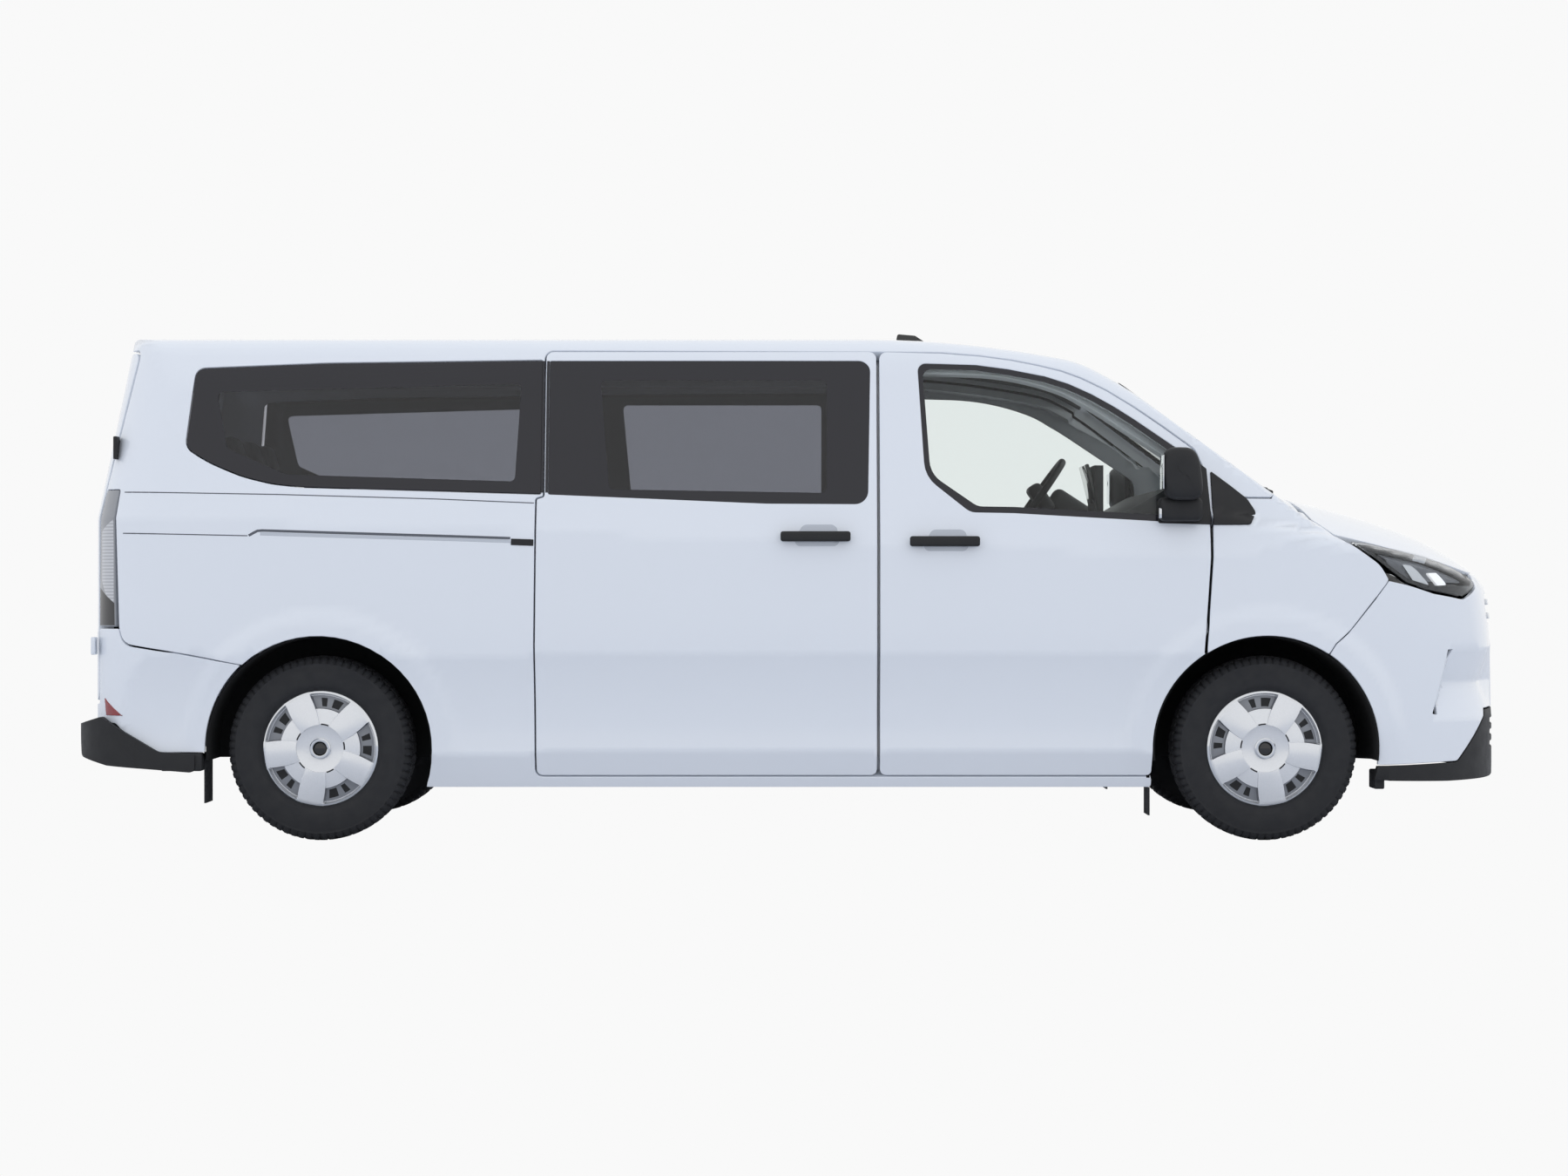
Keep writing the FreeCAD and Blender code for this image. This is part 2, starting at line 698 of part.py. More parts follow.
def build_rear_doors():
    low = -FAR / 2
    high = BODY_REAR_X + 350
    for side, corners, pane in (("left", rear_door_outline(), rear_window_outline()),
                                ("right", flipped(rear_door_outline()), flipped(rear_window_outline()))):
        door = DOOR_SKIN.common(prism(corners, REAR, low, high)).common(below_rear_header(0))
        inner = prism(corners, REAR, low, high, -DOOR_REBATE).common(below_rear_header(-DOOR_REBATE))
        door = door.cut(door_rebate(inner))
        save("rear_door_" + side, door.cut(window_cut(pane, REAR, low, high)))
        save("rear_glass_" + side, GLASS_SKIN.common(prism(pane, REAR, low, high)))


def body_side(with_sliding_door):
    rear_low = -FAR / 2
    rear_high = BODY_REAR_X + 350
    side = WALL.common(box(-FAR, FAR, OUT, -ROOF_SEAM_Y, 0, FAR))
    side = side.common(prism(body_outline(), SIDE, OUT, 0))
    cuts = [side_prism(front_door_outline(), DOOR_GAP).cut(FRAME_IN)]
    opening = side_prism(front_door_outline(), -FLANGE)
    cuts.append(opening.cut(arch_cut(FRONT_AXLE_X, OUT, 0, ARCH_RADIUS + FLANGE)))
    if with_sliding_door:
        cuts.append(side_prism(sliding_door_outline(), DOOR_GAP).cut(FRAME_IN))
        cuts.append(side_prism(sliding_door_outline(), -FLANGE))
    else:
        cuts.append(side_window_cut(sliding_window_outline()))
    cuts.append(side_window_cut(quarter_window_outline()))
    rear_door = flipped(rear_door_outline())
    rear_gap = prism(rear_door, REAR, rear_low, rear_high, DOOR_GAP + SEAM_GAP)
    cuts.append(rear_gap.common(below_rear_header(DOOR_GAP)).cut(FRAME_IN))
    cuts.append(prism(rear_door, REAR, rear_low, rear_high, -FLANGE))
    cuts.append(arch_cut(FRONT_AXLE_X, OUT, 0, ARCH_RADIUS))
    cuts.append(arch_cut(REAR_AXLE_X, OUT, 0, ARCH_RADIUS))
    cuts.append(screen_prism(0, 300, 300))
    cuts.append(prism(rear_bumper_outline(), SIDE, OUT, 0).cut(DOOR_IN))
    cuts.append(tail_lamp_block().cut(DOOR_IN))
    wing_zone = box(FRONT_AXLE_X - 229, FAR, OUT, 0, 0, FAR).cut(front_solid(SKIN_THICKNESS + SEAT_GAP))
    cuts.append(wing_zone.common(box(0, FAR, OUT, 0, 0, 1176)))
    for cut in cuts:
        side = side.cut(cut)
    return solids_of(side)


def tail_lamp_block():
    return box(-FAR / 2, BODY_REAR_X + 112, OUT, -REAR_DOOR_HALF - DOOR_GAP, 792, 1306)


def build_body_sides():
    save("body_side_right", *body_side(True))
    save("body_side_left", *[mirrored(solid) for solid in body_side(False)])


def build_roof():
    corners = [
        (-FAR / 2, DOOR_TOP_Z - 15, 0),
        (REAR_AXLE_X - 500, DOOR_TOP_Z - 15, 0),
        (REAR_AXLE_X - 400, 1500, 0),
        (FRONT_AXLE_X - 200, 1500, 0),
        (FRONT_AXLE_X - 200, 2 * ROOF_Z, 0),
        (-FAR / 2, 2 * ROOF_Z, 0),
    ]
    roof = OUTER.cut(cabin_solid(ROOF_THICKNESS)).common(prism(corners, SIDE, -ROOF_SEAM_Y, ROOF_SEAM_Y))
    roof = roof.cut(screen_prism(0, 300, 300))
    doors = box(-FAR, BODY_REAR_X + 350, -REAR_DOOR_HALF, REAR_DOOR_HALF, 0, FAR)
    roof = roof.cut(doors.common(below_rear_header(DOOR_GAP)).cut(FRAME_IN))
    save("roof_panel", max(roof.Solids, key=lambda solid: solid.CenterOfMass.z))


def build_windscreen():
    save("windscreen", OUTER.cut(cabin_solid(GLASS_THICKNESS)).common(screen_prism(0, 300, 300)))


def bonnet_zone(inset):
    """The bonnet's plan: inside the body outline, with its rear corners cut off."""
    rear = BONNET_REAR_X - (BONNET_INSET - inset)
    corners = [
        (rear, -BONNET_REAR_HALF, 20),
        (rear + 95, -HALF_WIDTH, 0),
        (FAR, -HALF_WIDTH, 0),
        (FAR, HALF_WIDTH, 0),
        (rear + 95, HALF_WIDTH, 0),
        (rear, BONNET_REAR_HALF, 20),
    ]
    return plan_solid(inset, 700, 2 * ROOF_Z).common(prism(corners, PLAN, 700, 2 * ROOF_Z))


def build_bonnet():
    bonnet = FRONT_SKIN.common(bonnet_zone(BONNET_INSET))
    save("bonnet", max(bonnet.Solids, key=lambda solid: solid.Volume))


def build_headlamps():
    block = FRONT.cut(front_solid(LAMP_DEPTH)).cut(bonnet_zone(BONNET_INSET - DOOR_GAP))
    lamp = block.common(prism(lamp_outline(), SIDE, OUT, 0))
    save("headlamps", lamp, mirrored(lamp))


def build_wings():
    wing = FRONT_SKIN.cut(bonnet_zone(BONNET_INSET - DOOR_GAP))
    wing = wing.common(box(FRONT_AXLE_X - 250, FAR, OUT, -ROOF_SEAM_Y, 0, FAR))
    pillar = prism(body_outline(), SIDE, OUT, 0).common(box(0, FAR, OUT, 0, 1176, FAR))
    cuts = [
        pillar,
        prism(front_door_outline(), SIDE, OUT, 0, DOOR_GAP),
        box(0, FRONT_AXLE_X - 226, OUT, 0, 0, FAR),
        prism(bumper_outline(), SIDE, OUT, 0, SEAM_GAP),
        prism(lamp_outline(), SIDE, OUT, 0, SEAM_GAP),
        arch_cut(FRONT_AXLE_X, OUT, 0, ARCH_RADIUS),
    ]
    for cut in cuts:
        wing = wing.cut(cut)
    wings = solids_of(wing, 100000)
    save("front_wings", *(wings + [mirrored(solid) for solid in wings]))


def build_cowl():
    cowl = FRONT_SKIN.common(box(FRONT_AXLE_X, BONNET_REAR_X - DOOR_GAP, -ROOF_SEAM_Y, ROOF_SEAM_Y, 1100, FAR))
    glass = screen_prism(SEAM_GAP, 300, 300).cut(cabin_solid(GLASS_THICKNESS + SEAM_GAP))
    cowl = cowl.cut(glass)
    for y in (-660, 620):
        hinge = box(BONNET_REAR_X - 60, BONNET_REAR_X + 50, y, y + 40, 1150, FAR)
        under = hinge.common(front_solid(SKIN_THICKNESS + SEAT_GAP))
        root = hinge.common(front_solid(10)).common(box(0, BONNET_REAR_X - DOOR_GAP - 4, OUT, -OUT, 0, FAR))
        cowl = cowl.fuse(under).fuse(root)
    save("cowl", *solids_of(cowl, 100000))


def build_bumper():
    skin = FRONT.cut(NOSE_IN)
    bumper = skin.common(prism(bumper_outline(), SIDE, OUT, -OUT))
    cuts = [
        bonnet_zone(BONNET_INSET - DOOR_GAP),
        prism(valance_outline(), SIDE, OUT, -OUT),
        prism(lamp_outline(), SIDE, OUT, -OUT, SEAT_GAP),
        arch_cut(FRONT_AXLE_X, OUT, -OUT, ARCH_RADIUS),
        grille_opening(0),
    ]
    for cut in cuts:
        bumper = bumper.cut(cut)
    save("front_bumper", *solids_of(bumper, 100000))


def grille_opening(grow):
    corners = [
        (-GRILLE_HALF, GRILLE_LOW_Z, 25),
        (-GRILLE_HALF - 30, GRILLE_HIGH_Z, 20),
        (GRILLE_HALF + 30, GRILLE_HIGH_Z, 20),
        (GRILLE_HALF, GRILLE_LOW_Z, 25),
    ]
    return prism(corners, REAR, FRONT_AXLE_X + 600, NOSE_X + 100, grow)


def build_front_trim():
    skin = FRONT.cut(NOSE_IN)
    valance = skin.common(prism(valance_outline(), SIDE, OUT, -OUT))
    valance = valance.cut(arch_cut(FRONT_AXLE_X, OUT, -OUT, ARCH_RADIUS))
    slot_low = 330.0
    slot_pitch = 44.0
    for index in range(3):
        low = slot_low + index * slot_pitch
        valance = valance.cut(box(FRONT_AXLE_X + 700, FAR, -560, 560, low, low + 24))
    backing = FRONT_IN.cut(NOSE_IN).common(grille_opening(0))
    bars = []
    bar_skin = front_solid(-BAR_STAND).cut(FRONT_IN)
    for index in range(BAR_COUNT):
        low = GRILLE_LOW_Z + 12 + index * (GRILLE_HIGH_Z - GRILLE_LOW_Z) / BAR_COUNT
        bars.append(box(FRONT_AXLE_X, FAR, -GRILLE_HALF + 6, GRILLE_HALF - 6, low, low + BAR_HEIGHT))
    grille = backing
    for bar in bars:
        grille = grille.fuse(bar_skin.common(bar))
    save("front_trim", *(solids_of(valance, 100000) + solids_of(grille, 100000)))


def build_tail_lamps():
    lamp = OUTER.cut(cabin_solid(TAIL_LAMP_DEPTH)).common(tail_lamp_block())
    along = Vector(REAR_HINGE_LEAN, 0, 1)
    foot = Vector(REAR_HINGE_X, -REAR_HINGE_Y, REAR_HINGE_Z) - along * 300
    swing = Part.makeCylinder(REAR_HINGE_CLEAR, 1200, foot, along)
    edge = box(-FAR, 0, -REAR_DOOR_HALF - DOOR_GAP - 16, 0, 0, FAR)
    lamp = lamp.cut(swing.common(edge).cut(cabin_solid(1.5 * DOOR_EDGE)))
    save("tail_lamps", lamp, mirrored(lamp))


def build_rear_bumper():
    bumper = DOOR_SKIN.common(prism(rear_bumper_outline(), SIDE, OUT, -OUT))
    bumper = bumper.cut(arch_cut(REAR_AXLE_X, OUT, -OUT, ARCH_RADIUS))
    half = REAR_DOOR_HALF + DOOR_GAP
    middle = box(-FAR, REAR_AXLE_X - 500, -half, half, REAR_DOOR_BOTTOM_Z - DOOR_GAP, FAR)
    save("rear_bumper", *solids_of(bumper.cut(middle), 100000))


def build_rear_step():
    corners = [
        (TAIL_X, 430, 12),
        (BODY_REAR_X + 45, 462, 20),
        (REAR_AXLE_X - 590, 333, 60),
        (REAR_AXLE_X - 455, 325, 10),
        (REAR_AXLE_X - 455, 256, 20),
        (BODY_REAR_X + 70, 282, 60),
        (TAIL_X + 15, 312, 20),
    ]
    plan = plan_solid(DOOR_GAP, 0, 800)
    plan.translate(Vector(TAIL_X - BODY_REAR_X - DOOR_GAP, 0, 0))
    step = prism(corners, SIDE, OUT, -OUT).common(plan)
    save("rear_step", step.cut(cabin_solid(DOOR_THICKNESS).fuse(DOOR_SKIN)).cut(ROOM))


def build_floor():
    low = FLOOR_Z - FLOOR_THICKNESS
    room = ROOM.common(box(-FAR, BULKHEAD_X, OUT, -OUT, low, FLOOR_Z))
    for axle_x, inner_y in ((FRONT_AXLE_X, FRONT_LINER_Y), (REAR_AXLE_X, REAR_LINER_Y)):
        room = room.cut(arch_cut(axle_x, OUT, -inner_y, ARCH_RADIUS + SEAT_GAP))
        room = room.cut(arch_cut(axle_x, inner_y, -OUT, ARCH_RADIUS + SEAT_GAP))
    floor = max(room.Solids, key=lambda solid: solid.Volume)
    rail_low = low - RAIL_HEIGHT
    notch = box(REAR_AXLE_X - 80, REAR_AXLE_X + 80, OUT, -OUT, rail_low - 50, HUB_Z + AXLE_RADIUS + DOOR_GAP)
    for y in (-RAIL_Y, RAIL_Y):
        rail = box(BODY_REAR_X + 110, BULKHEAD_X, y - RAIL_WIDTH / 2, y + RAIL_WIDTH / 2, rail_low, low)
        floor = floor.fuse(rail.cut(notch))
        for x in JACK_PADS_X:
            floor = floor.fuse(Part.makeCylinder(JACK_PAD_RADIUS, 12, Vector(x, y, rail_low - 12)))
    save("floor_pan", floor)


def build_bulkhead():
    corners = [
        (BULKHEAD_X, FLOOR_Z - FLOOR_THICKNESS, 0),
        (BULKHEAD_X, 1000, 0),
        (FRONT_AXLE_X + 20, 1270, 0),
        (FRONT_AXLE_X + 60, 1250, 0),
        (BULKHEAD_X + 35, 980, 0),
        (BULKHEAD_X + 35, FLOOR_Z - FLOOR_THICKNESS, 0),
    ]
    wall = prism(corners, SIDE, OUT, -OUT).common(ROOM).common(FRONT_IN)
    for side in (-1, 1):
        low, high = sorted((side * FRONT_LINER_Y, side * -OUT))
        wall = wall.cut(arch_cut(FRONT_AXLE_X, low, high, ARCH_RADIUS))
    save("bulkhead", max(wall.Solids, key=lambda solid: solid.Volume))


def wheel_liner(axle_x, inner_y):
    outer_y = HALF_WIDTH - WALL_THICKNESS + 60
    low = 300.0
    tube = cylinder_y(axle_x, HUB_Z, ARCH_RADIUS, inner_y, outer_y)
    tube = tube.cut(cylinder_y(axle_x, HUB_Z, ARCH_RADIUS - LINER_WALL, inner_y + LINER_WALL, outer_y + 10))
    legs = FAR / 4
    tube = tube.cut(box(axle_x - legs, axle_x + legs, 0, -OUT, -legs, low))
    return tube.cut(cylinder_y(axle_x, HUB_Z, AXLE_RADIUS + DOOR_GAP, 0, outer_y))


def build_liners():
    front = wheel_liner(FRONT_AXLE_X, FRONT_LINER_Y)
    rear = wheel_liner(REAR_AXLE_X, REAR_LINER_Y)
    save("wheel_arch_liners", front, rear, mirrored(front), mirrored(rear))


def revolve_y(points, x, y, z):
    """A solid turned about the wheel axis from (radius, across) points."""
    wire = Part.makePolygon([Vector(x + radius, y + across, z) for radius, across in points + points[:1]])
    return Part.Face(wire).revolve(Vector(x, y, z), Vector(0, 1, 0), 360)


def build_wheel(name, axle_x, side):
    y = side * WHEEL_Y
    half = TYRE_WIDTH / 2
    tread = TYRE_RADIUS
    tyre = [
        (RIM_RADIUS, -half + 6), (tread - 36, -half), (tread, -half + 25),
        (tread, half - 25), (tread - 36, half), (RIM_RADIUS, half - 6),
    ]
    save("tyre_" + name, revolve_y(tyre, axle_x, y, HUB_Z))
    face = half - 12
    bore = STUB_RADIUS + BORE_CLEARANCE
    rim = [
        (bore, 20), (bore, 60), (95, 60), (110, face - 18), (RIM_RADIUS - 6, face - 14),
        (RIM_RADIUS, face - 4), (RIM_RADIUS, -face), (RIM_RADIUS - RIM_WALL, -face),
        (RIM_RADIUS - RIM_WALL, face - 40), (95, 20),
    ]
    rim = revolve_y([(radius, side * across) for radius, across in rim], axle_x, y, HUB_Z)
    for index in range(VENT_COUNT):
        angle = math.radians(26 + index * 360 / VENT_COUNT)
        vent = box(-VENT_RADIUS, VENT_RADIUS, -half, half, VENT_CENTRE - VENT_RADIUS, VENT_CENTRE + VENT_RADIUS)
        vent.rotate(Vector(0, 0, 0), Vector(0, 1, 0), 90 - math.degrees(angle))
        vent.translate(Vector(axle_x, y, HUB_Z))
        rim = rim.cut(vent)
    save("wheel_" + name, rim)


def build_wheels():
    for name, axle_x in (("front", FRONT_AXLE_X), ("rear", REAR_AXLE_X)):
        build_wheel(name + "_right", axle_x, -1)
        build_wheel(name + "_left", axle_x, 1)


def build_knuckles():
    hub_y = -WHEEL_Y
    post = box(FRONT_AXLE_X - 30, FRONT_AXLE_X + 30, -KINGPIN_Y - 15, -KINGPIN_Y + 35, HUB_Z - 110, HUB_Z + 110)
    stub = cylinder_y(FRONT_AXLE_X, HUB_Z, STUB_RADIUS, hub_y - 58, -KINGPIN_Y + 10)
    disc = cylinder_y(FRONT_AXLE_X, HUB_Z, BRAKE_RADIUS, hub_y + 12, hub_y + 30)
    both_sides("knuckle", post.fuse(stub).fuse(disc))


def build_front_suspension():
    member = box(FRONT_AXLE_X - 60, FRONT_AXLE_X + 60, -420, 420, HUB_Z - 110, HUB_Z - 20)
    parts = member
    for side in (-1, 1):
        inner = sorted((side * 400, side * (KINGPIN_Y - 54)))
        parts = parts.fuse(box(FRONT_AXLE_X - 35, FRONT_AXLE_X + 35, inner[0], inner[1], HUB_Z - 105, HUB_Z - 75))
        strut = Part.makeCylinder(30, 500, Vector(FRONT_AXLE_X, side * 470, HUB_Z - 100), Vector(0, 0, 1))
        parts = parts.fuse(strut)
    save("front_suspension", parts)


def build_rear_suspension():
    hub_y = WHEEL_Y
    beam = cylinder_y(REAR_AXLE_X, HUB_Z, AXLE_RADIUS, -hub_y + 110, hub_y - 110)
    for side in (-1, 1):
        low, high = sorted((side * (hub_y - 120), side * (hub_y + 58)))
        beam = beam.fuse(cylinder_y(REAR_AXLE_X, HUB_Z, STUB_RADIUS, low, high))
        low, high = sorted((side * (hub_y - 30), side * (hub_y - 12)))
        beam = beam.fuse(cylinder_y(REAR_AXLE_X, HUB_Z, BRAKE_RADIUS, low, high))
        spring = box(REAR_AXLE_X - 500, REAR_AXLE_X + 500, side * 560 - 35, side * 560 + 35, HUB_Z + 40, HUB_Z + 60)
        beam = beam.fuse(spring)
        beam = beam.fuse(box(REAR_AXLE_X - 40, REAR_AXLE_X + 40, side * 560 - 40, side * 560 + 40, HUB_Z, HUB_Z + 97))
    save("rear_suspension", beam)


def build_engine():
    engine = box(FRONT_AXLE_X + 90, FRONT_AXLE_X + 640, -400, 400, 330, 900)
    mount = box(FRONT_AXLE_X + 60 + SEAT_GAP, FRONT_AXLE_X + 130, -250, 250, HUB_Z - 90, 400)
    save("engine", engine.fuse(mount))


def seat_solid(x, y, half_width, back_height):
    """A seat from the side: legs, cushion and a leaning backrest with its headrest."""
    profile = [
        (x - 60, FLOOR_Z, 0), (x + 330, FLOOR_Z, 0), (x + 330, FLOOR_Z + 200, 0), (x + 420, FLOOR_Z + 220, 30),
        (x + 430, FLOOR_Z + 330, 40), (x + 20, FLOOR_Z + 300, 0), (x - 130, FLOOR_Z + back_height, 30),
        (x - 230, FLOOR_Z + back_height - 10, 30), (x - 90, FLOOR_Z + 260, 30),
    ]
    seat = prism(profile, SIDE, y - half_width, y + half_width)
    head = prism([
        (x - 140, FLOOR_Z + back_height - 5, 0), (x - 170, FLOOR_Z + back_height + 175, 40),
        (x - 245, FLOOR_Z + back_height + 165, 30), (x - 225, FLOOR_Z + back_height - 15, 0),
    ], SIDE, y - 120, y + 120)
    return seat.fuse(head)


def build_seats():
    driver = seat_solid(FRONT_SEAT_X, FRONT_SEAT_Y, 250, 900)
    save("front_seats", driver, mirrored(driver))
    rows = []
    for x in REAR_SEAT_ROWS:
        rows.append(seat_solid(x, 0, REAR_BENCH_HALF, 860))
    save("rear_benches", *rows)


def dashboard_outline():
    return [
        (BULKHEAD_X - 320, 960, 40), (BULKHEAD_X - 350, 1190, 60), (BULKHEAD_X - 120, 1320, 60),
        (BULKHEAD_X + 40, 1330, 20), (BULKHEAD_X, 1020, 0), (BULKHEAD_X, 860, 0), (BULKHEAD_X - 180, 860, 30),
    ]


def build_dashboard():
    dash = prism(dashboard_outline(), SIDE, OUT, -OUT)
    wall_top = prism([
        (BULKHEAD_X - 1, 0, 0), (BULKHEAD_X - 1, 1000, 0), (FRONT_AXLE_X + 19, 1270, 0), (FAR, 1270, 0), (FAR, 0, 0),
    ], SIDE, OUT, -OUT)
    dash = dash.cut(wall_top).common(ROOM)
    screen = box(BULKHEAD_X - 350, BULKHEAD_X - 315, -150, 150, 1200, 1420)
    save("dashboard", max(dash.Solids, key=lambda solid: solid.Volume).fuse(screen))


def build_steering_wheel():
    rim_points = [(-15, 0), (0, 15), (15, 0), (0, -15), (-15, 0)]
    wire = Part.makePolygon([Vector(STEERING_RADIUS + u, 0, v) for u, v in rim_points])
    rim = Part.Face(wire).revolve(Vector(0, 0, 0), Vector(0, 0, 1), 360)
    hub = Part.makeCylinder(60, 40, Vector(0, 0, -45))
    spoke = box(-STEERING_RADIUS, STEERING_RADIUS, -18, 18, -12, 4)
    column = Part.makeCylinder(30, 300, Vector(0, 0, -320))
    wheel = rim.fuse(hub).fuse(spoke.cut(Part.makeCylinder(20, 60, Vector(0, 0, -30)))).fuse(column)
    wheel.rotate(Vector(0, 0, 0), Vector(0, 1, 0), -STEERING_LEAN)
    wheel.translate(Vector(STEERING_X, FRONT_SEAT_Y, STEERING_Z))
    save("steering_wheel", wheel.cut(prism(dashboard_outline(), SIDE, OUT, -OUT, SEAT_GAP)))


def build_mirrors():
    sections = []
    for y, grow in ((-HALF_WIDTH + 28, 0.72), (-HALF_WIDTH - 30, 1.0), (-MIRROR_TIP_Y + 25, 0.95), (-MIRROR_TIP_Y, 0.75)):
        half_x = MIRROR_DEPTH / 2 * grow
        half_z = MIRROR_HEIGHT / 2 * grow
        corners = [(-1, -0.5), (-0.6, -1), (0.6, -1), (1, -0.4), (0.9, 0.5), (0.5, 1), (-0.5, 1), (-1, 0.6)]
        points = [Vector(MIRROR_X + u * half_x, y, MIRROR_Z + v * half_z) for u, v in corners]
        sections.append(Part.makePolygon(points + points[:1]))
    head = Part.makeLoft(sections, True, True)
    sail = [
        (FRONT_AXLE_X - 307, 1449, 5), (FRONT_AXLE_X - 240, 1400, 10),
        (FRONT_AXLE_X - 214, 1182, 10), (FRONT_AXLE_X - 287, 1182, 5),
    ]
    base = prism(sail, SIDE, OUT, -HALF_WIDTH / 2).common(cabin_solid(-12).cut(OUTER))
    arm = box(MIRROR_X - 20, MIRROR_X + 90, -HALF_WIDTH - 40, -HALF_WIDTH + 70, 1186, 1240).cut(OUTER)
    both_sides("door_mirror", head.fuse(arm).fuse(base).cut(OUTER))


def handle(x, z):
    grip = box(x - 115, x + 115, -HALF_WIDTH - 42, -HALF_WIDTH - 24, z - 16, z + 16)
    for foot_x in (x - 105, x + 75):
        grip = grip.fuse(box(foot_x, foot_x + 30, -HALF_WIDTH - 42, -HALF_WIDTH + 25, z - 16, z + 16))
    return grip.cut(OUTER)


def build_handles():
    both_sides("door_handle", handle(FRONT_AXLE_X - 1187, 1110))
    save("sliding_door_handle", handle(B_PILLAR_X - 233, 1134))


def build_mudflaps():
    flaps = []
    for x, low, high in ((FRONT_AXLE_X - ARCH_RADIUS - 14, 95, SILL_Z - SEAT_GAP),
                         (REAR_AXLE_X - ARCH_RADIUS - 14, 140, 330 - SEAT_GAP)):
        flaps.append(box(x, x + 6, -FLAP_OUTER_Y, -FLAP_INNER_Y, low, high))
    save("mudflaps", *(flaps + [mirrored(flap) for flap in flaps]))


def build_exhaust():
    pipe = Part.makeCylinder(28, 2900, Vector(FRONT_AXLE_X - 300, 180, 300), Vector(-1, 0, 0))
    silencer = box(-700, -200, 60, 300, 240, 360)
    hanger = box(-460, -430, 165, 195, 350, FLOOR_Z - FLOOR_THICKNESS)
    save("exhaust", pipe.fuse(silencer).fuse(hanger))


def build_antenna():
    fin = prism([
        (ANTENNA_X - 70, ROOF_Z - 10, 0), (ANTENNA_X - 60, ROOF_Z + 42, 8), (ANTENNA_X + 10, ROOF_Z + 36, 20),
        (ANTENNA_X + 80, ROOF_Z - 10, 0),
    ], SIDE, -18, 18)
    save("roof_antenna", fin.cut(OUTER))


def build_wipers():
    blades = []
    for side in (-1, 1):
        blade = box(0, 14, -330, 330, -14, 16)
        blade.rotate(Vector(0, 0, 0), Vector(0, 1, 0), math.degrees(SCREEN_ANGLE))
        blade.translate(Vector(SCREEN_X + SCREEN_BOTTOM * 0.81, side * 330, SCREEN_Z - SCREEN_BOTTOM * 0.58))
        blades.append(blade.cut(OUTER))
    save("wipers", *blades)


os.makedirs("parts", exist_ok=True)
build_body_sides()
build_roof()
build_front_doors()
build_sliding_door()
build_side_glass()
build_rear_doors()
build_windscreen()
build_bonnet()
build_headlamps()
build_wings()
build_cowl()
build_bumper()
build_front_trim()
build_tail_lamps()
build_rear_bumper()
build_rear_step()
build_floor()
build_bulkhead()
build_liners()
build_wheels()
build_knuckles()
build_front_suspension()
build_rear_suspension()
build_engine()
build_seats()
build_dashboard()
build_steering_wheel()
build_mirrors()
build_handles()
build_mudflaps()
build_exhaust()
build_antenna()
build_wipers()
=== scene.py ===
import json
import math

import bmesh
import bpy
import numpy as np
from mathutils import Matrix, Vector
from mathutils.geometry import delaunay_2d_cdt

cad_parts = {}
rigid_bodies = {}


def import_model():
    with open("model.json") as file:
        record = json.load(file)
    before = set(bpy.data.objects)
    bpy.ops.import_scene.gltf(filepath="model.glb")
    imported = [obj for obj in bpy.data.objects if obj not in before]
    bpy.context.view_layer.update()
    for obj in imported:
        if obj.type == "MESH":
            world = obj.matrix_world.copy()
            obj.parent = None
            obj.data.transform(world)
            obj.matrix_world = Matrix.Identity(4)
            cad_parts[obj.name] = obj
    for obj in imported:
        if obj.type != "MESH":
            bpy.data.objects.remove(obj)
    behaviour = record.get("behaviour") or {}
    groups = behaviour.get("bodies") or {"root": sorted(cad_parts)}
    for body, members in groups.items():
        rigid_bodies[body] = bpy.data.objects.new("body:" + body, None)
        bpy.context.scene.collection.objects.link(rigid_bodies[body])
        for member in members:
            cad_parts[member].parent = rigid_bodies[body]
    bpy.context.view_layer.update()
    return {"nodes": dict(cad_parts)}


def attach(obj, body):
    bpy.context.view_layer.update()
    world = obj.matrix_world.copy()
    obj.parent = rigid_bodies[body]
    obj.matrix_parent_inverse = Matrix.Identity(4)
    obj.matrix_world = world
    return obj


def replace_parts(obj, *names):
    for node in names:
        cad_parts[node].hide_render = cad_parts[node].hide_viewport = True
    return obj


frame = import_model()

# Body sizes, in metres: the same as the CAD solids', with the nose 45 mm shorter, as in the photograph
NOSE_X = 2.680
REAR_X = -2.662
HALF_WIDTH = 1.016
ROOF_Z = 1.903
ROOF_EDGE_Y = 0.70
SHOULDER_Z = 1.108
SILL_Z, CREASE_Z, WAIST_Z = 0.198, 0.326, 0.700
FRONT_AXLE_X = 1.692
REAR_AXLE_X = -1.808
TYRE_RADIUS = 0.343
HUB_Z = TYRE_RADIUS
ARCH_RADIUS = 0.418
SCREEN_X, SCREEN_Z = 1.493, 1.539
SCREEN_SLOPE = math.radians(36)
BONNET_START = (1.960, 1.269, math.radians(13.5))
BONNET_BENDS = ((3.4, math.radians(19)), (1.1, math.radians(46)))
TYRE_FACE_Y = 0.957
COVER_RADIUS = 0.221
SHUT_LINE = 0.0026
RAY_REACH = 1.6

# How the panels of a kind are drawn: their depth below the surface, thickness and gaps
DOOR_SKIN = {"thick": 0.058, "hole_gap": -0.001}
SIDE_SKIN = {"thick": 0.058, "hole_gap": 0.0034, "gap": 0.0}
FRAME = {"depth": 0.068, "thick": 0.03, "gap": 0.004, "step": 0.05}
PANE = {"depth": 0.0025, "thick": 0.004, "gap": 0.001, "edge": 0.001}
FLUSH = {"edge": 0.001, "gap": 0.0, "step": 0.02}

HANDS = (("right", -1), ("left", 1))
BODY = ("body", "body")
DOORS = ("front_door_right", "front_door_left")


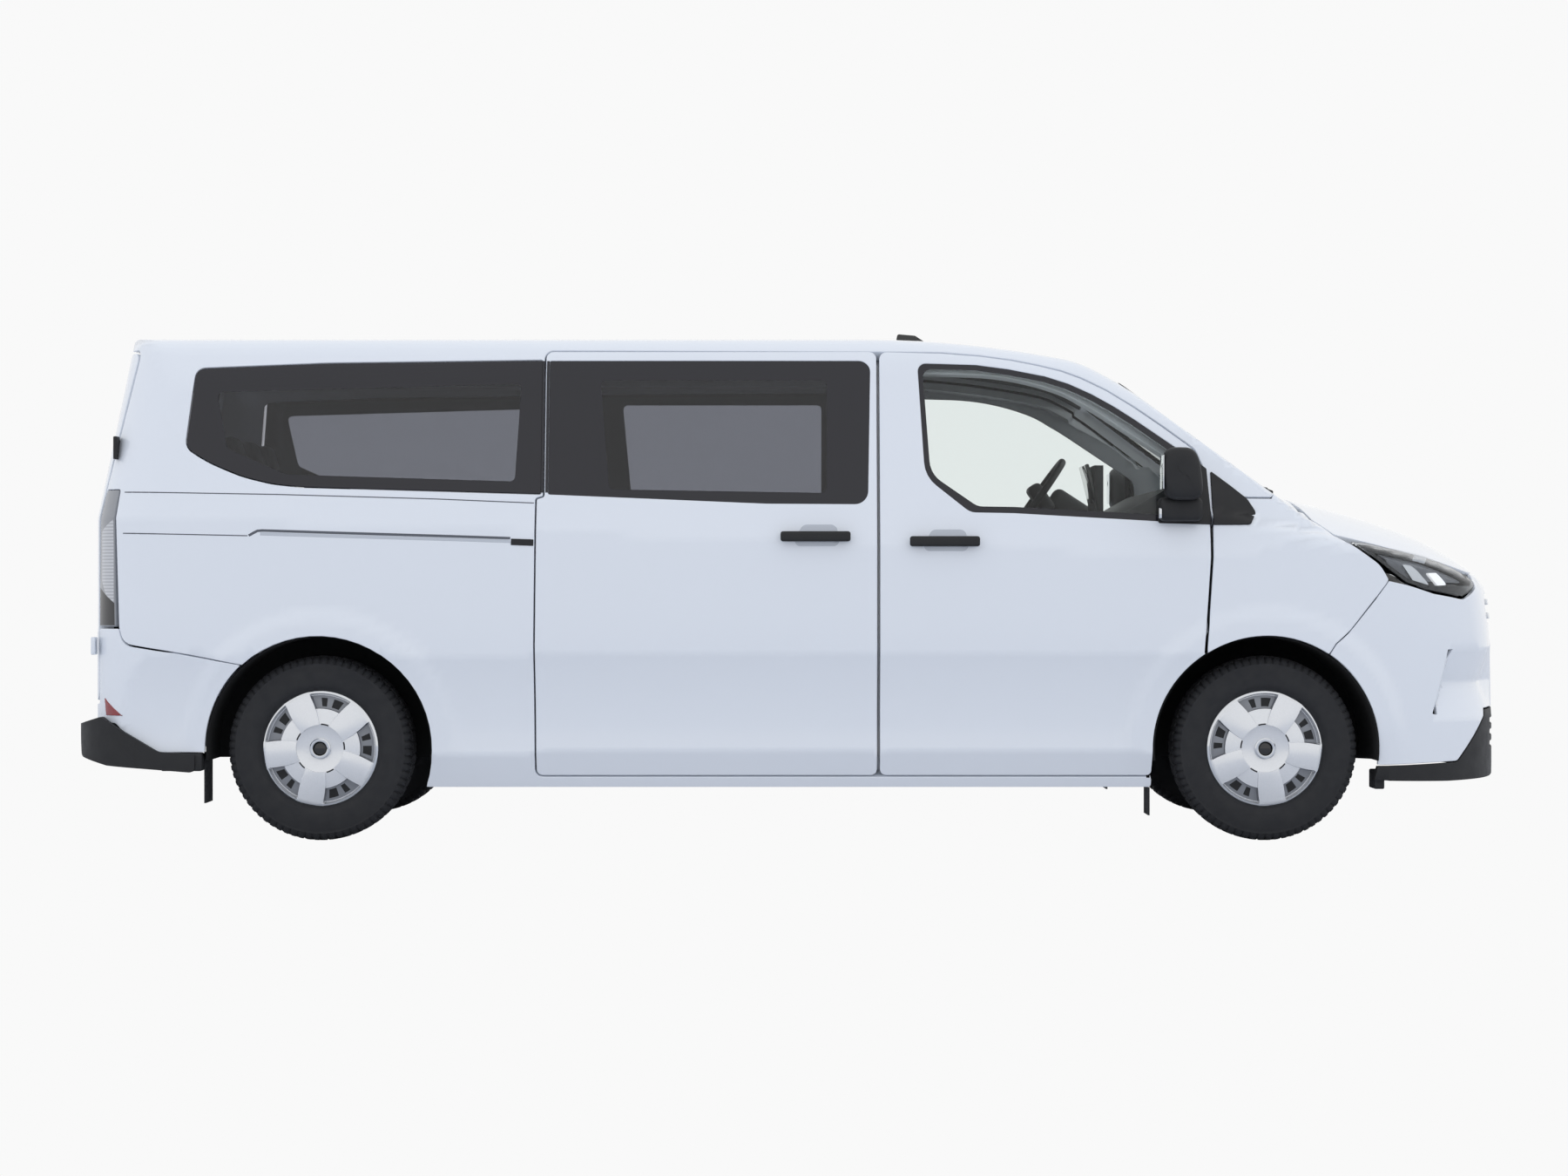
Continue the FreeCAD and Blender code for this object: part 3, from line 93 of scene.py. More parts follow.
# The body surface
def cross_circle(a, b, c):
    """Centre and radius of the circle through three points."""
    (ax, ay), (bx, by), (cx, cy) = a, b, c
    d = 2 * (ax * (by - cy) + bx * (cy - ay) + cx * (ay - by))
    aa, bb, cc = ax * ax + ay * ay, bx * bx + by * by, cx * cx + cy * cy
    ux = (aa * (by - cy) + bb * (cy - ay) + cc * (ay - by)) / d
    uy = (aa * (cx - bx) + bb * (ax - cx) + cc * (bx - ax)) / d
    return ux, uy, math.hypot(ax - ux, ay - uy)


def plan_depth(x, y):
    """How far a point lies inside the outline seen from above."""
    nose, corner, taper, rear = 2.0, 0.56, 3.5, 0.25
    turn = math.radians(16)
    nose_x = NOSE_X - nose
    corner_x = nose_x + (nose - corner) * math.cos(turn)
    corner_y = (nose - corner) * math.sin(turn)
    taper_y = HALF_WIDTH - taper
    side = math.asin((corner_y - taper_y) / (taper - corner))
    taper_x = corner_x - (taper - corner) * math.cos(side)
    rear_x, rear_y = REAR_X + rear, HALF_WIDTH - rear
    at_taper = np.arctan2(y - taper_y, x - taper_x)
    at_corner = np.arctan2(y - corner_y, x - corner_x)
    front = np.where(at_taper >= side, taper - np.hypot(x - taper_x, y - taper_y),
                     np.where(at_corner >= turn, corner - np.hypot(x - corner_x, y - corner_y),
                              nose - np.hypot(x - nose_x, y)))
    back = np.where(y > rear_y, rear - np.hypot(x - rear_x, y - rear_y), x - rear_x + rear)
    return np.where(x > taper_x, front, np.where(x > rear_x, HALF_WIDTH - y, back))


HOLLOW = cross_circle((0.986, CREASE_Z), (0.982, 0.470), (1.017, WAIST_Z))


def section_depth(y, z):
    """The waist below the shoulder: a sill that turns under and a hollow above its crease."""
    hollow_y, hollow_z, radius = HOLLOW
    inside = hollow_y - np.sqrt(np.maximum(radius ** 2 - (z - hollow_z) ** 2, 0))
    sill_slope = 0.044 / 0.128
    sill = 0.942 + (z - SILL_Z) * sill_slope
    unbounded = 9.0
    half = np.where(z < CREASE_Z, sill, np.where(z < WAIST_Z, inside, unbounded))
    return half - y


def leaning_depth(x, y, z):
    """The upper sides and back, which lean in above the shoulder line."""
    tilt = math.radians(2.1)
    lean_ahead, lean_in, radius = 0.17, 0.2, 0.25
    rise = x * math.sin(tilt) + (z - SHOULDER_Z) * math.cos(tilt)
    along = rise / (lean_ahead * math.sin(tilt) + math.cos(tilt))
    qx, qy, qz = x - lean_ahead * along, y + lean_in * along, z - along
    u = qx * math.cos(tilt) - (qz - SHOULDER_Z) * math.sin(tilt)
    rear_x, rear_y = REAR_X + radius, HALF_WIDTH - radius
    corner = radius - np.hypot(u - rear_x, qy - rear_y)
    flat = np.minimum(u - rear_x + radius, HALF_WIDTH - qy)
    return np.where((u < rear_x) & (qy > rear_y), corner, flat) * 0.98


def above_line(x, z, start, bends):
    """Height of points over a line that runs straight, bends through arcs and runs on."""
    sx, sz, angle = start
    height = (x - sx) * math.sin(angle) + (z - sz) * math.cos(angle)
    for radius, end in bends:
        cx, cz = sx - radius * math.sin(angle), sz - radius * math.cos(angle)
        turn = np.arctan2(x - cx, z - cz)
        height = np.where(turn >= angle, np.hypot(x - cx, z - cz) - radius, height)
        sx, sz, angle = cx + radius * math.sin(end), cz + radius * math.cos(end), end
        height = np.where(turn >= angle, (x - sx) * math.sin(angle) + (z - sz) * math.cos(angle), height)
    return height


def roof_depth(x, y, z):
    """The roof: straight along the back, falling ahead in two bends, with a flat crown and rounded sides."""
    bends = ((4.0, math.radians(11)), (0.45, math.radians(28)))
    up = above_line(x, z, (0.2, ROOF_Z, 0.0), bends)
    crown, edge, crown_half = 9.0, 0.105, 0.782
    flat = math.asin(crown_half / crown)
    edge_y, edge_up = (crown - edge) * math.sin(flat), (crown - edge) * math.cos(flat) - crown
    last = math.radians(66)
    turn = np.arctan2(y - edge_y, up - edge_up)
    top = crown - np.hypot(y, up + crown)
    rounded = edge - np.hypot(y - edge_y, up - edge_up)
    side = edge - (y - edge_y) * math.sin(last) - (up - edge_up) * math.cos(last)
    return np.where(turn < flat, top, np.where(turn < last, rounded, side))


def screen_depth(x, y, z):
    """The windscreen: a sloping plane with a slight curve across it."""
    crown, above = 11.0, 0.027
    up = (x - SCREEN_X) * math.sin(SCREEN_SLOPE) + (z - SCREEN_Z) * math.cos(SCREEN_SLOPE)
    return crown - np.hypot(up + crown + above, y)


def bonnet_depth(x, y, z):
    """The bonnet: falling ahead in two bends, with a crown across it."""
    crown = 3.2
    return crown - np.hypot(above_line(x, z, BONNET_START, BONNET_BENDS) + crown, y)


def nose_depth(x, y, z):
    """The front face: leaning back above and below, with the lip of the valance."""
    depth, arc = 9.0, 2.0
    for lean, level in ((-0.145, 0.620), (0.277, 0.416)):
        across = (x - (NOSE_X - arc) - lean * (z - level)) / math.hypot(1, lean)
        depth = np.minimum(depth, arc - np.hypot(across, y))
    lip = 0.016 * np.exp(-((z - 0.275) / 0.028) ** 2) - 0.022 * np.exp(-((z - 0.365) / 0.030) ** 2)
    return depth + lip * (z < 0.45)


def soft_least(values, radius):
    """The least of several depths, with the edges between them rounded."""
    least = values[0]
    for value in values[1:]:
        share = np.clip(0.5 + 0.5 * (value - least) / radius, 0, 1)
        least = value * (1 - share) + least * share - radius * share * (1 - share)
    return least


def step_up(t):
    """A smooth step from 0 to 1."""
    t = np.clip(t, 0, 1)
    return t * t * (3 - 2 * t)


def flare(x, z):
    """How far the flanks stand proud round the wheels."""
    proud, height, fade = 0, 0.011, 0.060
    for axle_x, width in ((FRONT_AXLE_X, 0.060), (REAR_AXLE_X, 0.050)):
        reach = np.hypot(x - axle_x, z - HUB_Z) - ARCH_RADIUS
        above = step_up((z - 0.22) / 0.25)
        proud = proud + height * (1 - step_up((reach - width) / fade)) * above
    return proud


def duct(x, y, z):
    """How deep the bumper is drawn in ahead of the slot at each front corner."""
    slot_x = 2.331 + (z - 0.470) * 0.272
    high = np.clip((0.712 - z) / 0.127, 0, 1)
    low = np.clip((z - 0.455) / 0.130, 0, 1)
    return 0.048 * np.minimum(high, low) * (x > slot_x) * step_up((y - 0.25) / 0.3)


def flank_depth(x, y, z):
    """The sides, front corners and back, below the shoulder and above it."""
    sides = np.minimum(plan_depth(x, y), section_depth(y, z))
    return np.minimum(sides + flare(x, z), leaning_depth(x, y, z) + flare(x, z))


def cabin(x, y, z):
    """How deep a point lies in the body behind the bonnet."""
    y = np.abs(y)
    return soft_least([flank_depth(x, y, z), roof_depth(x, y, z), screen_depth(x, y, z)], 0.012)


def clip(x, y, z):
    """How deep a point lies in the front of the vehicle, from the cowl to the nose."""
    y = np.abs(y)
    front = soft_least([nose_depth(x, y, z), bonnet_depth(x, y, z)], 0.03)
    return soft_least([front, flank_depth(x, y, z)], 0.03) - duct(x, y, z)


def whole(x, y, z):
    """The cabin and the front together, for what lies across both."""
    return np.where(x > 1.3, np.maximum(cabin(x, y, z), clip(x, y, z)), cabin(x, y, z))


def found(shape, origin, ray, reach=RAY_REACH):
    """Where rays from inside the body cross its surface."""
    ray = np.broadcast_to(ray, origin.shape)
    low, high = np.zeros(len(origin)), np.full(len(origin), float(reach))
    for _ in range(34):
        middle = (low + high) / 2
        p = origin + ray * middle[:, None]
        inside = shape(p[:, 0], p[:, 1], p[:, 2]) > 0
        low, high = np.where(inside, middle, low), np.where(inside, high, middle)
    return origin + ray * low[:, None]


def normals_of(shape, points):
    """The outward directions of a surface at points on it."""
    small = 0.0015
    slope = []
    for axis in range(3):
        offset = np.zeros(3)
        offset[axis] = small
        a, b = points + offset, points - offset
        slope.append(shape(b[:, 0], b[:, 1], b[:, 2]) - shape(a[:, 0], a[:, 1], a[:, 2]))
    slope = np.stack(slope, 1)
    return slope / np.maximum(np.linalg.norm(slope, axis=1), 1e-9)[:, None]


# Ways of looking at the body
WRAP_FRONT_X, WRAP_REAR_X, WRAP_Y = 2.0, -2.30, 0.62
FRONT_TURN, REAR_TURN, TOP_TURN = 0.5, 0.35, 0.3
SIDE_START = WRAP_Y + FRONT_TURN * math.pi / 2
SIDE_END = SIDE_START + WRAP_FRONT_X - WRAP_REAR_X
REAR_START = SIDE_END + REAR_TURN * math.pi / 2


def eaves(x, shape):
    """The height above which a ray turns upward, below the roof, windscreen or bonnet."""
    if shape is clip:
        level = -above_line(x, 0 * x, BONNET_START, BONNET_BENDS)
        return np.minimum(level, 1.25) - 0.24
    roof = ROOF_Z - np.maximum(x - 0.2, 0) ** 2 / 8
    glass = SCREEN_Z - (x - SCREEN_X) * math.tan(SCREEN_SLOPE)
    return soft_least([soft_least([roof, glass], 0.3) - 0.22, 0 * x + 1.70], 0.2)


def wrap(s, v, shape):
    """Points on the body from the run round it, s, and up it, v. s is 0 at the middle of the nose."""
    s = np.asarray(s, float)
    v = np.asarray(v, float)
    side = np.sign(s) + (s == 0)
    s = np.abs(s)
    front_turn = np.clip((SIDE_START - s) / FRONT_TURN, 0, math.pi / 2)
    rear_turn = np.clip((s - SIDE_END) / REAR_TURN, 0, math.pi / 2)
    x = np.clip(WRAP_FRONT_X + SIDE_START - s, WRAP_REAR_X, WRAP_FRONT_X)
    y = np.minimum(WRAP_Y, s)
    y = np.where(s > REAR_START, WRAP_Y - (s - REAR_START), y)
    top = eaves(x, shape)
    rise = np.maximum(v - top, 0) / TOP_TURN
    ray_x = (np.sin(front_turn) - np.sin(rear_turn)) * np.cos(rise)
    ray_y = -np.cos(front_turn) * np.cos(rear_turn) * np.cos(rise)
    origin = np.stack([x, -side * y, np.minimum(v, top)], 1)
    ray = np.stack([ray_x, side * ray_y, np.sin(rise)], 1)
    return found(shape, origin, ray)


def unwrapped(points, shape):
    """The run s and height v of points on the body, the inverse of wrap."""
    x, y, z = np.asarray(points, float).T
    side = np.where(y > 0, -1.0, 1.0)
    y = np.abs(y)
    ahead = np.maximum(x - WRAP_FRONT_X, 0)
    behind = np.maximum(WRAP_REAR_X - x, 0)
    beside = np.maximum(y - WRAP_Y, 0)
    s = SIDE_START + WRAP_FRONT_X - np.clip(x, WRAP_REAR_X, WRAP_FRONT_X)
    s = s - FRONT_TURN * np.arctan2(ahead, beside + 1e-9) + REAR_TURN * np.arctan2(behind, beside + 1e-9)
    inward = np.maximum(WRAP_Y - y, 0)
    s = s - np.where(ahead > 0, inward, 0) + np.where(behind > 0, inward, 0)
    top = eaves(np.clip(x, WRAP_REAR_X, WRAP_FRONT_X), shape)
    out = np.hypot(np.maximum(ahead, behind), beside)
    v = np.where(z > top, top + TOP_TURN * np.arctan2(z - top, out), z)
    return np.stack([s * side, v], 1)


def on_run(points, shape, radii):
    """Points of the body as corners (s, v, radius) of the wrapped run."""
    return [(s, v, r) for (s, v), r in zip(unwrapped(points, shape), radii)]


def from_side(corners, shape):
    """Corners (x, z, radius) seen from the right, as corners of the wrapped run."""
    x, z, radii = np.array(corners, float).T
    points = found(shape, np.stack([x, 0 * x - 0.2, z], 1), (0, -1, 0))
    return on_run(points, shape, radii)


def side_curve(corners, shape):
    """A closed line rounded as it is seen from the right, as corners of the wrapped run."""
    return from_side([(x, z, 0.0) for x, z in rounded(corners, 0.04)], shape)


def from_end(corners, shape, ahead):
    """Corners (y, z, radius) seen from the front or back, as corners of the wrapped run."""
    y, z, radii = np.array(corners, float).T
    points = found(shape, np.stack([0 * y + 2.0 * ahead, y, z], 1), (ahead, 0, 0))
    return on_run(points, shape, radii)


def from_top(corners, shape):
    """Corners (x, y, radius) seen from above, as corners of the wrapped run."""
    points = from_above(shape)(np.array([(x, y) for x, y, _ in corners]))
    return on_run(points, shape, [radius for _, _, radius in corners])


def wrapped(shape):
    """Points of the body from places (s, v) of the wrapped run."""
    return lambda uv: wrap(uv[:, 0], uv[:, 1], shape)


def from_above(shape):
    """Points of the body from places (x, y)."""
    return lambda uv: found(shape, np.stack([uv[:, 0], uv[:, 1], 0 * uv[:, 0] + 0.7], 1), (0, 0, 1))


def on_screen(uv):
    """Points of the windscreen from the run down its slope and across it."""
    down = np.array([math.cos(SCREEN_SLOPE), 0, -math.sin(SCREEN_SLOPE)])
    out = np.array([math.sin(SCREEN_SLOPE), 0, math.cos(SCREEN_SLOPE)])
    base = np.array([SCREEN_X, 0, SCREEN_Z]) + uv[:, :1] * down + uv[:, 1:] * np.array([0, 1, 0])
    return found(screen_depth, base - 0.3 * out, out, 0.6)


def from_behind(uv):
    """Points of the back from places (y, z)."""
    return found(cabin, np.stack([0 * uv[:, 0] - 1.9, uv[:, 0], uv[:, 1]], 1), (-1, 0, 0), 1.2)


# Outlines and panels
def rounded(corners, step):
    """A closed line through corners (u, v, radius), its corners rounded and its runs divided."""
    points = []
    count = len(corners)
    for index, (u, v, radius) in enumerate(corners):
        here = np.array([u, v])
        back = np.array(corners[index - 1][:2]) - here
        ahead = np.array(corners[(index + 1) % count][:2]) - here
        long_back, long_ahead = np.linalg.norm(back), np.linalg.norm(ahead)
        back, ahead = back / long_back, ahead / long_ahead
        half = math.acos(max(-1.0, min(1.0, float(back @ ahead)))) / 2
        if radius <= 0 or half > 1.565:
            points.append(here)
            continue
        reach = min(radius / math.tan(half), 0.49 * long_back, 0.49 * long_ahead)
        radius = reach * math.tan(half)
        middle = here + (back + ahead) / np.linalg.norm(back + ahead) * radius / math.sin(half)
        start, end = here + back * reach - middle, here + ahead * reach - middle
        sweep = math.pi - 2 * half
        turn = math.copysign(sweep, start[0] * end[1] - start[1] * end[0])
        pieces = max(3, int(math.ceil(sweep / 0.22)), int(sweep * radius / step))
        for k in range(pieces + 1):
            a = turn * k / pieces
            c, s = math.cos(a), math.sin(a)
            points.append(middle + np.array([c * start[0] - s * start[1], s * start[0] + c * start[1]]))
    line = []
    for a, b in zip(points, points[1:] + points[:1]):
        length = float(np.linalg.norm(b - a))
        parts = int(math.ceil(length / step)) if length >= 1e-6 else 0
        line += [a + (b - a) * k / parts for k in range(parts)]
    line = np.array(line)
    area = np.sum(line[:, 0] * np.roll(line[:, 1], -1) - np.roll(line[:, 0], -1) * line[:, 1])
    return line if area > 0 else line[::-1]


def grown(line, distance):
    """A closed line moved outward, or inward where the distance is below 0."""
    before, after = np.roll(line, 1, 0), np.roll(line, -1, 0)
    a, b = line - before, after - line
    a = a / np.linalg.norm(a, axis=1)[:, None]
    b = b / np.linalg.norm(b, axis=1)[:, None]
    na, nb = np.stack([a[:, 1], -a[:, 0]], 1), np.stack([b[:, 1], -b[:, 0]], 1)
    middle = na + nb
    middle = middle / np.maximum(np.linalg.norm(middle, axis=1), 1e-6)[:, None]
    stretch = 1 / np.maximum((middle * na).sum(1), 0.5)
    return line + middle * (stretch * distance)[:, None]


def within(points, line):
    """Which points lie inside a closed line."""
    inside = np.zeros(len(points), bool)
    px, py = points[:, 0], points[:, 1]
    for (ax, ay), (bx, by) in zip(line, np.roll(line, -1, 0)):
        crosses = (ay > py) != (by > py)
        if crosses.any():
            at = ax + (py - ay) * (bx - ax) / (by - ay if by != ay else 1e-12)
            inside ^= crosses & (px < at)
    return inside


def near(points, line, distance):
    """Which points lie nearer to a closed line than a distance."""
    close = np.zeros(len(points), bool)
    for a, b in zip(line, np.roll(line, -1, 0)):
        along = b - a
        t = np.clip(((points - a) @ along) / max(along @ along, 1e-12), 0, 1)
        gap = points - a - t[:, None] * along
        close |= (gap ** 2).sum(1) < distance ** 2
    return close


def filled(loops, step, guides=()):
    """Triangles that fill the first closed line and leave out the others. Guides only add edges."""
    outer = loops[0]
    low, high = outer.min(0), outer.max(0)
    u = np.arange(low[0] + step / 2, high[0], step)
    v = np.arange(low[1] + step / 2, high[1], step)
    grid = np.stack(np.meshgrid(u, v), -1).reshape(-1, 2)
    keep = within(grid, outer)
    for line in loops[1:]:
        keep &= ~within(grid, line)
    grid = grid[keep]
    lines = list(loops) + list(guides)
    for line in lines:
        if len(grid):
            grid = grid[~near(grid, line, step * 0.45)]
    verts, edges = [], []
    for line in lines:
        first = len(verts)
        verts += [tuple(p) for p in line]
        edges += [(first + k, first + (k + 1) % len(line)) for k in range(len(line))]
    verts += [tuple(p) for p in grid]
    points = [Vector((float(u), float(v))) for u, v in verts]
    made, _, faces, _, _, _ = delaunay_2d_cdt(points, edges, [], 0, 1e-7)
    made = np.array([(p[0], p[1]) for p in made])
    faces = np.array([f for f in faces if len(f) == 3])
    middles = made[faces].mean(1)
    keep = within(middles, outer)
    for line in loops[1:]:
        keep &= ~within(middles, line)
    faces = faces[keep]
    a, b, c = made[faces[:, 0]], made[faces[:, 1]], made[faces[:, 2]]
    turn = (b[:, 0] - a[:, 0]) * (c[:, 1] - a[:, 1]) - (b[:, 1] - a[:, 1]) * (c[:, 0] - a[:, 0])
    faces[turn < 0] = faces[turn < 0][:, ::-1]
    return made, faces[np.abs(turn) > 1e-12], middles[keep][np.abs(turn) > 1e-12]


def placed(name, mesh, body):
    """A mesh as an object of the scene that rides on a body."""
    obj = bpy.data.objects.new(name, mesh)
    bpy.context.scene.collection.objects.link(obj)
    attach(obj, body)
    return obj


def ring_faces(rings, count):
    """Faces between closed rings of points, all with that count."""
    pairs = [(i * count, k, (k + 1) % count) for i in range(rings - 1) for k in range(count)]
    return [(start + a, start + b, start + count + b, start + count + a) for start, a, b in pairs]


def mesh_piece(name, body, verts, faces, materials, marks=None, normals=None):
    """A mesh object from points, faces, materials, a material number per face and a normal per point."""
    mesh = bpy.data.meshes.new(name)
    mesh.from_pydata([tuple(p) for p in verts], [], [tuple(int(i) for i in f) for f in faces])
    for material in materials:
        mesh.materials.append(material)
    if marks is not None:
        mesh.polygons.foreach_set("material_index", np.array(marks, np.int32))
    mesh.polygons.foreach_set("use_smooth", np.ones(len(mesh.polygons), bool))
    if normals is None:
        mesh.set_sharp_from_angle(angle=math.radians(38))
    else:
        mesh.normals_split_custom_set_from_vertices([tuple(n) for n in normals])
    mesh.update()
    return placed(name, mesh, body)


def panel(name, body, outline, shape, materials, place=None, holes=(), zones=(), step=0.03, depth=0.0,
          edge=0.003, lip=0.014, thick=0.0, gap=SHUT_LINE, hole_gap=0.0):
    """A sheet on the body surface: its face, its rolled edges and, where it has a thickness, its back.

    The outline lies on the wrapped run, or where place says. zones are (line, material number) drawn inside
    it, and the last of several materials is the back's. depth sinks it below the surface.
    """
    place = place or wrapped(shape)
    fine = min(step, 0.02)
    outer = grown(rounded(outline, fine), -gap)
    cuts = [grown(rounded(hole, fine), hole_gap) for hole in holes]
    guides = [rounded(zone, fine) for zone, _ in zones]
    face_loops = [grown(outer, -edge)] + [grown(cut, edge) for cut in cuts]
    flat, faces, middles = filled(face_loops, step, guides)
    marks = np.zeros(len(faces), int)
    for line, (_, number) in zip(guides, zones):
        marks[within(middles, line)] = number
    surface = place(flat)
    normal = normals_of(shape, surface)
    verts = [surface - normal * depth]
    normals = [normal]
    all_faces = [tuple(f) for f in faces]
    count = len(surface)
    bottom = max(lip, thick)
    rims = []
    for loop, face_loop, way in [(outer, face_loops[0], 1)] + [(c, f, -1) for c, f in zip(cuts,
                                                                                          face_loops[1:])]:
        at = place(loop)
        inner = place(face_loop)
        n = normals_of(shape, inner)
        out = at - inner
        out = out - (out * n).sum(1)[:, None] * n
        out = out / np.maximum(np.linalg.norm(out, axis=1), 1e-9)[:, None]
        rings = [(inner, 0.0, n), (inner + out * edge * 0.7, edge * 0.3, n + out),
                 (inner + out * edge, edge, out + n * 0.15), (inner + out * edge, bottom, out)]
        size = len(loop)
        start = count
        bare = ~within(loop, outer) if way < 0 else np.zeros(size, bool)
        for cut in cuts if way > 0 else ():
            bare |= within(loop, cut)
        for points, down, way_out in rings:
            verts.append(points - n * (depth + down))
            normals.append(way_out / np.linalg.norm(way_out, axis=1)[:, None])
            count += size
        for r in range(3):
            for k in range(size):
                a, b = start + r * size + k, start + r * size + (k + 1) % size
                quad = (a, a + size, b + size, b)
                if not (bare[k] or bare[(k + 1) % size]):
                    all_faces.append(quad if way > 0 else quad[::-1])
        rims.append((start + 3 * size, size, way))
    marks = list(marks) + [0] * (len(all_faces) - len(faces))
    if thick > 0:
        back = count
        verts.append(surface - normal * (depth + thick))
        normals.append(-normal)
        all_faces += [tuple(back + i for i in f[::-1]) for f in faces]
        marks += [len(materials) - 1 if len(materials) > 1 else 0] * len(faces)
    verts = np.concatenate(verts)
    normals = np.concatenate(normals)
    a, b, c = (verts[faces[:, k]] for k in range(3))
    if (np.cross(b - a, c - a) * normals[faces[:, 0]]).sum() < 0:
        all_faces = [f[::-1] for f in all_faces]
    return mesh_piece(name, body, verts, all_faces, materials, marks, normals)


def both_panels(name, bodies, *rest, **settings):
    """A panel on the right and its mirror image on the left."""
    right = panel(name + "_right", bodies[0], *rest, **settings)
    return right, mirror_piece(right, name + "_left", bodies[1])


def left_panel(name, *rest, **settings):
    """A panel of the left side alone, drawn on the right and mirrored."""
    blank = panel(name + "_blank", "body", *rest, **settings)
    made = mirror_piece(blank, name, "body")
    bpy.data.objects.remove(blank)
    return made


def mirror_piece(piece, name, body):
    """The mirror image of a piece, with its materials and normals."""
    mesh = piece.data
    count = len(mesh.vertices)
    co = np.zeros(count * 3)
    mesh.vertices.foreach_get("co", co)
    co = co.reshape(-1, 3) * [1, -1, 1]
    faces = [tuple(p.vertices)[::-1] for p in mesh.polygons]
    marks = [p.material_index for p in mesh.polygons]
    corner = np.zeros(len(mesh.loops) * 3)
    mesh.corner_normals.foreach_get("vector", corner)
    corner = corner.reshape(-1, 3)
    normals = np.zeros((count, 3))
    index = np.zeros(len(mesh.loops), int)
    mesh.loops.foreach_get("vertex_index", index)
    normals[index] = corner * [1, -1, 1]
    return mesh_piece(name, body, co, faces, list(mesh.materials), marks, normals)


# Finishes
def colour(code):
    """A hex sRGB colour in linear light."""
    parts = [int(code[k:k + 2], 16) / 255 for k in (1, 3, 5)]
    return [p / 12.92 if p <= 0.04045 else ((p + 0.055) / 1.055) ** 2.4 for p in parts] + [1.0]


def add(material, kind, inputs=(), **settings):
    """Adds a node with its settings, and sets or links its inputs."""
    tree = material.node_tree
    made = tree.nodes.new(kind)
    for name, value in settings.items():
        setattr(made, name, value)
    for name, value in dict(inputs).items():
        socket = made.inputs[name] if isinstance(name, int) else next(
            s for s in made.inputs if s.name == name and s.enabled)
        if isinstance(value, bpy.types.NodeSocket):
            tree.links.new(value, socket)
        else:
            socket.default_value = value
    return made


def result(node):
    """The output of a Mix node that its data type uses."""
    return next(s for s in node.outputs if s.enabled)


def finish_of(name, code, roughness, metallic=0.0, **sockets):
    """A material with its shader, and its object coordinates in metres."""
    material = bpy.data.materials.new(name)
    material.use_nodes = True
    material.node_tree.nodes.clear()
    shader = add(material, "ShaderNodeBsdfPrincipled",
                 {"Base Color": colour(code), "Roughness": roughness, "Metallic": metallic, **sockets})
    out = add(material, "ShaderNodeOutputMaterial", {"Surface": shader.outputs[0]})
    where = add(material, "ShaderNodeTexCoord").outputs["Object"]
    material.diffuse_color = colour(code)
    return material, shader, where, out


def grain(made, size_mm, depth_mm, strength, detail=3.0, kind="ShaderNodeTexNoise"):
    """Gives a finish a fine unevenness of that size and depth, as bump, and returns its material."""
    material, shader, where, _ = made
    texture = add(material, kind, {"Vector": where, "Scale": 1000.0 / size_mm})
    if kind == "ShaderNodeTexNoise":
        texture.inputs["Detail"].default_value = detail
    raised = add(material, "ShaderNodeBump", {"Height": texture.outputs[0], "Strength": strength,
                                              "Distance": depth_mm / 1000})
    material.node_tree.links.new(raised.outputs[0], shader.inputs["Normal"])
    return material


def varied(made, size_mm, low, high, low_rough, high_rough):
    """Gives a finish slow changes of tone and gloss over the surface, and returns it."""
    material, shader, where, _ = made
    noise = add(material, "ShaderNodeTexNoise", {"Vector": where, "Scale": 1000.0 / size_mm, "Detail": 4.0})
    tone = add(material, "ShaderNodeMix", {"Factor": noise.outputs[0], "A": colour(low), "B": colour(high)},
               data_type="RGBA")
    rough = add(material, "ShaderNodeMapRange", {"Value": noise.outputs[0], "From Min": 0.3, "From Max": 0.7,
                                                 "To Min": low_rough, "To Max": high_rough})
    material.node_tree.links.new(result(tone), shader.inputs["Base Color"])
    material.node_tree.links.new(rough.outputs[0], shader.inputs["Roughness"])
    return made


def sprayed_white():
    """Solid white two-coat paint, sprayed and baked: glossy, with a faint orange peel of about 4 mm."""
    coat = {"Coat Weight": 1.0, "Coat Roughness": 0.05, "IOR": 1.5}
    return grain(finish_of("sprayed_white_paint", "#E3E8F0", 0.32, **coat), 4.0, 0.004, 0.25)


def privacy_glass():
    """Dark body-tinted float glass: almost black in reflection, with the far side showing dimly through."""
    clear = {"Transmission Weight": 1.0, "IOR": 1.45}
    return grain(finish_of("tinted_float_glass", "#A4A6AD", 0.02, **clear), 400.0, 0.02, 0.2, 1.0)


def clear_glass():
    """Laminated glass with a faint grey-green tint."""
    return grain(finish_of("laminated_glass", "#F4F8F7", 0.01, **{"Transmission Weight": 1.0, "IOR": 1.3}),
                 400.0, 0.02, 0.2, 1.0)


def frit():
    """Black ceramic enamel fired on the edge of the glass, under its gloss."""
    return grain(finish_of("fired_black_enamel", "#1D1D24", 0.06, **{"IOR": 1.5}), 400.0, 0.02, 0.2, 1.0)


def moulded_black():
    """Unpainted polypropylene, moulded with a leather-like grain of about 1.5 mm, drawn at 3 mm."""
    made = varied(finish_of("grained_black_polypropylene", "#17181B", 0.6), 60.0, "#131417", "#1C1D20",
                  0.55, 0.68)
    return grain(made, 3.0, 0.15, 0.5, 2.0, "ShaderNodeTexVoronoi")


def gloss_black():
    """Piano-black ABS: a smooth moulding with a clear reflection."""
    return grain(finish_of("gloss_black_abs", "#131417", 0.12, **{"Coat Weight": 0.5}), 30.0, 0.01, 0.2)


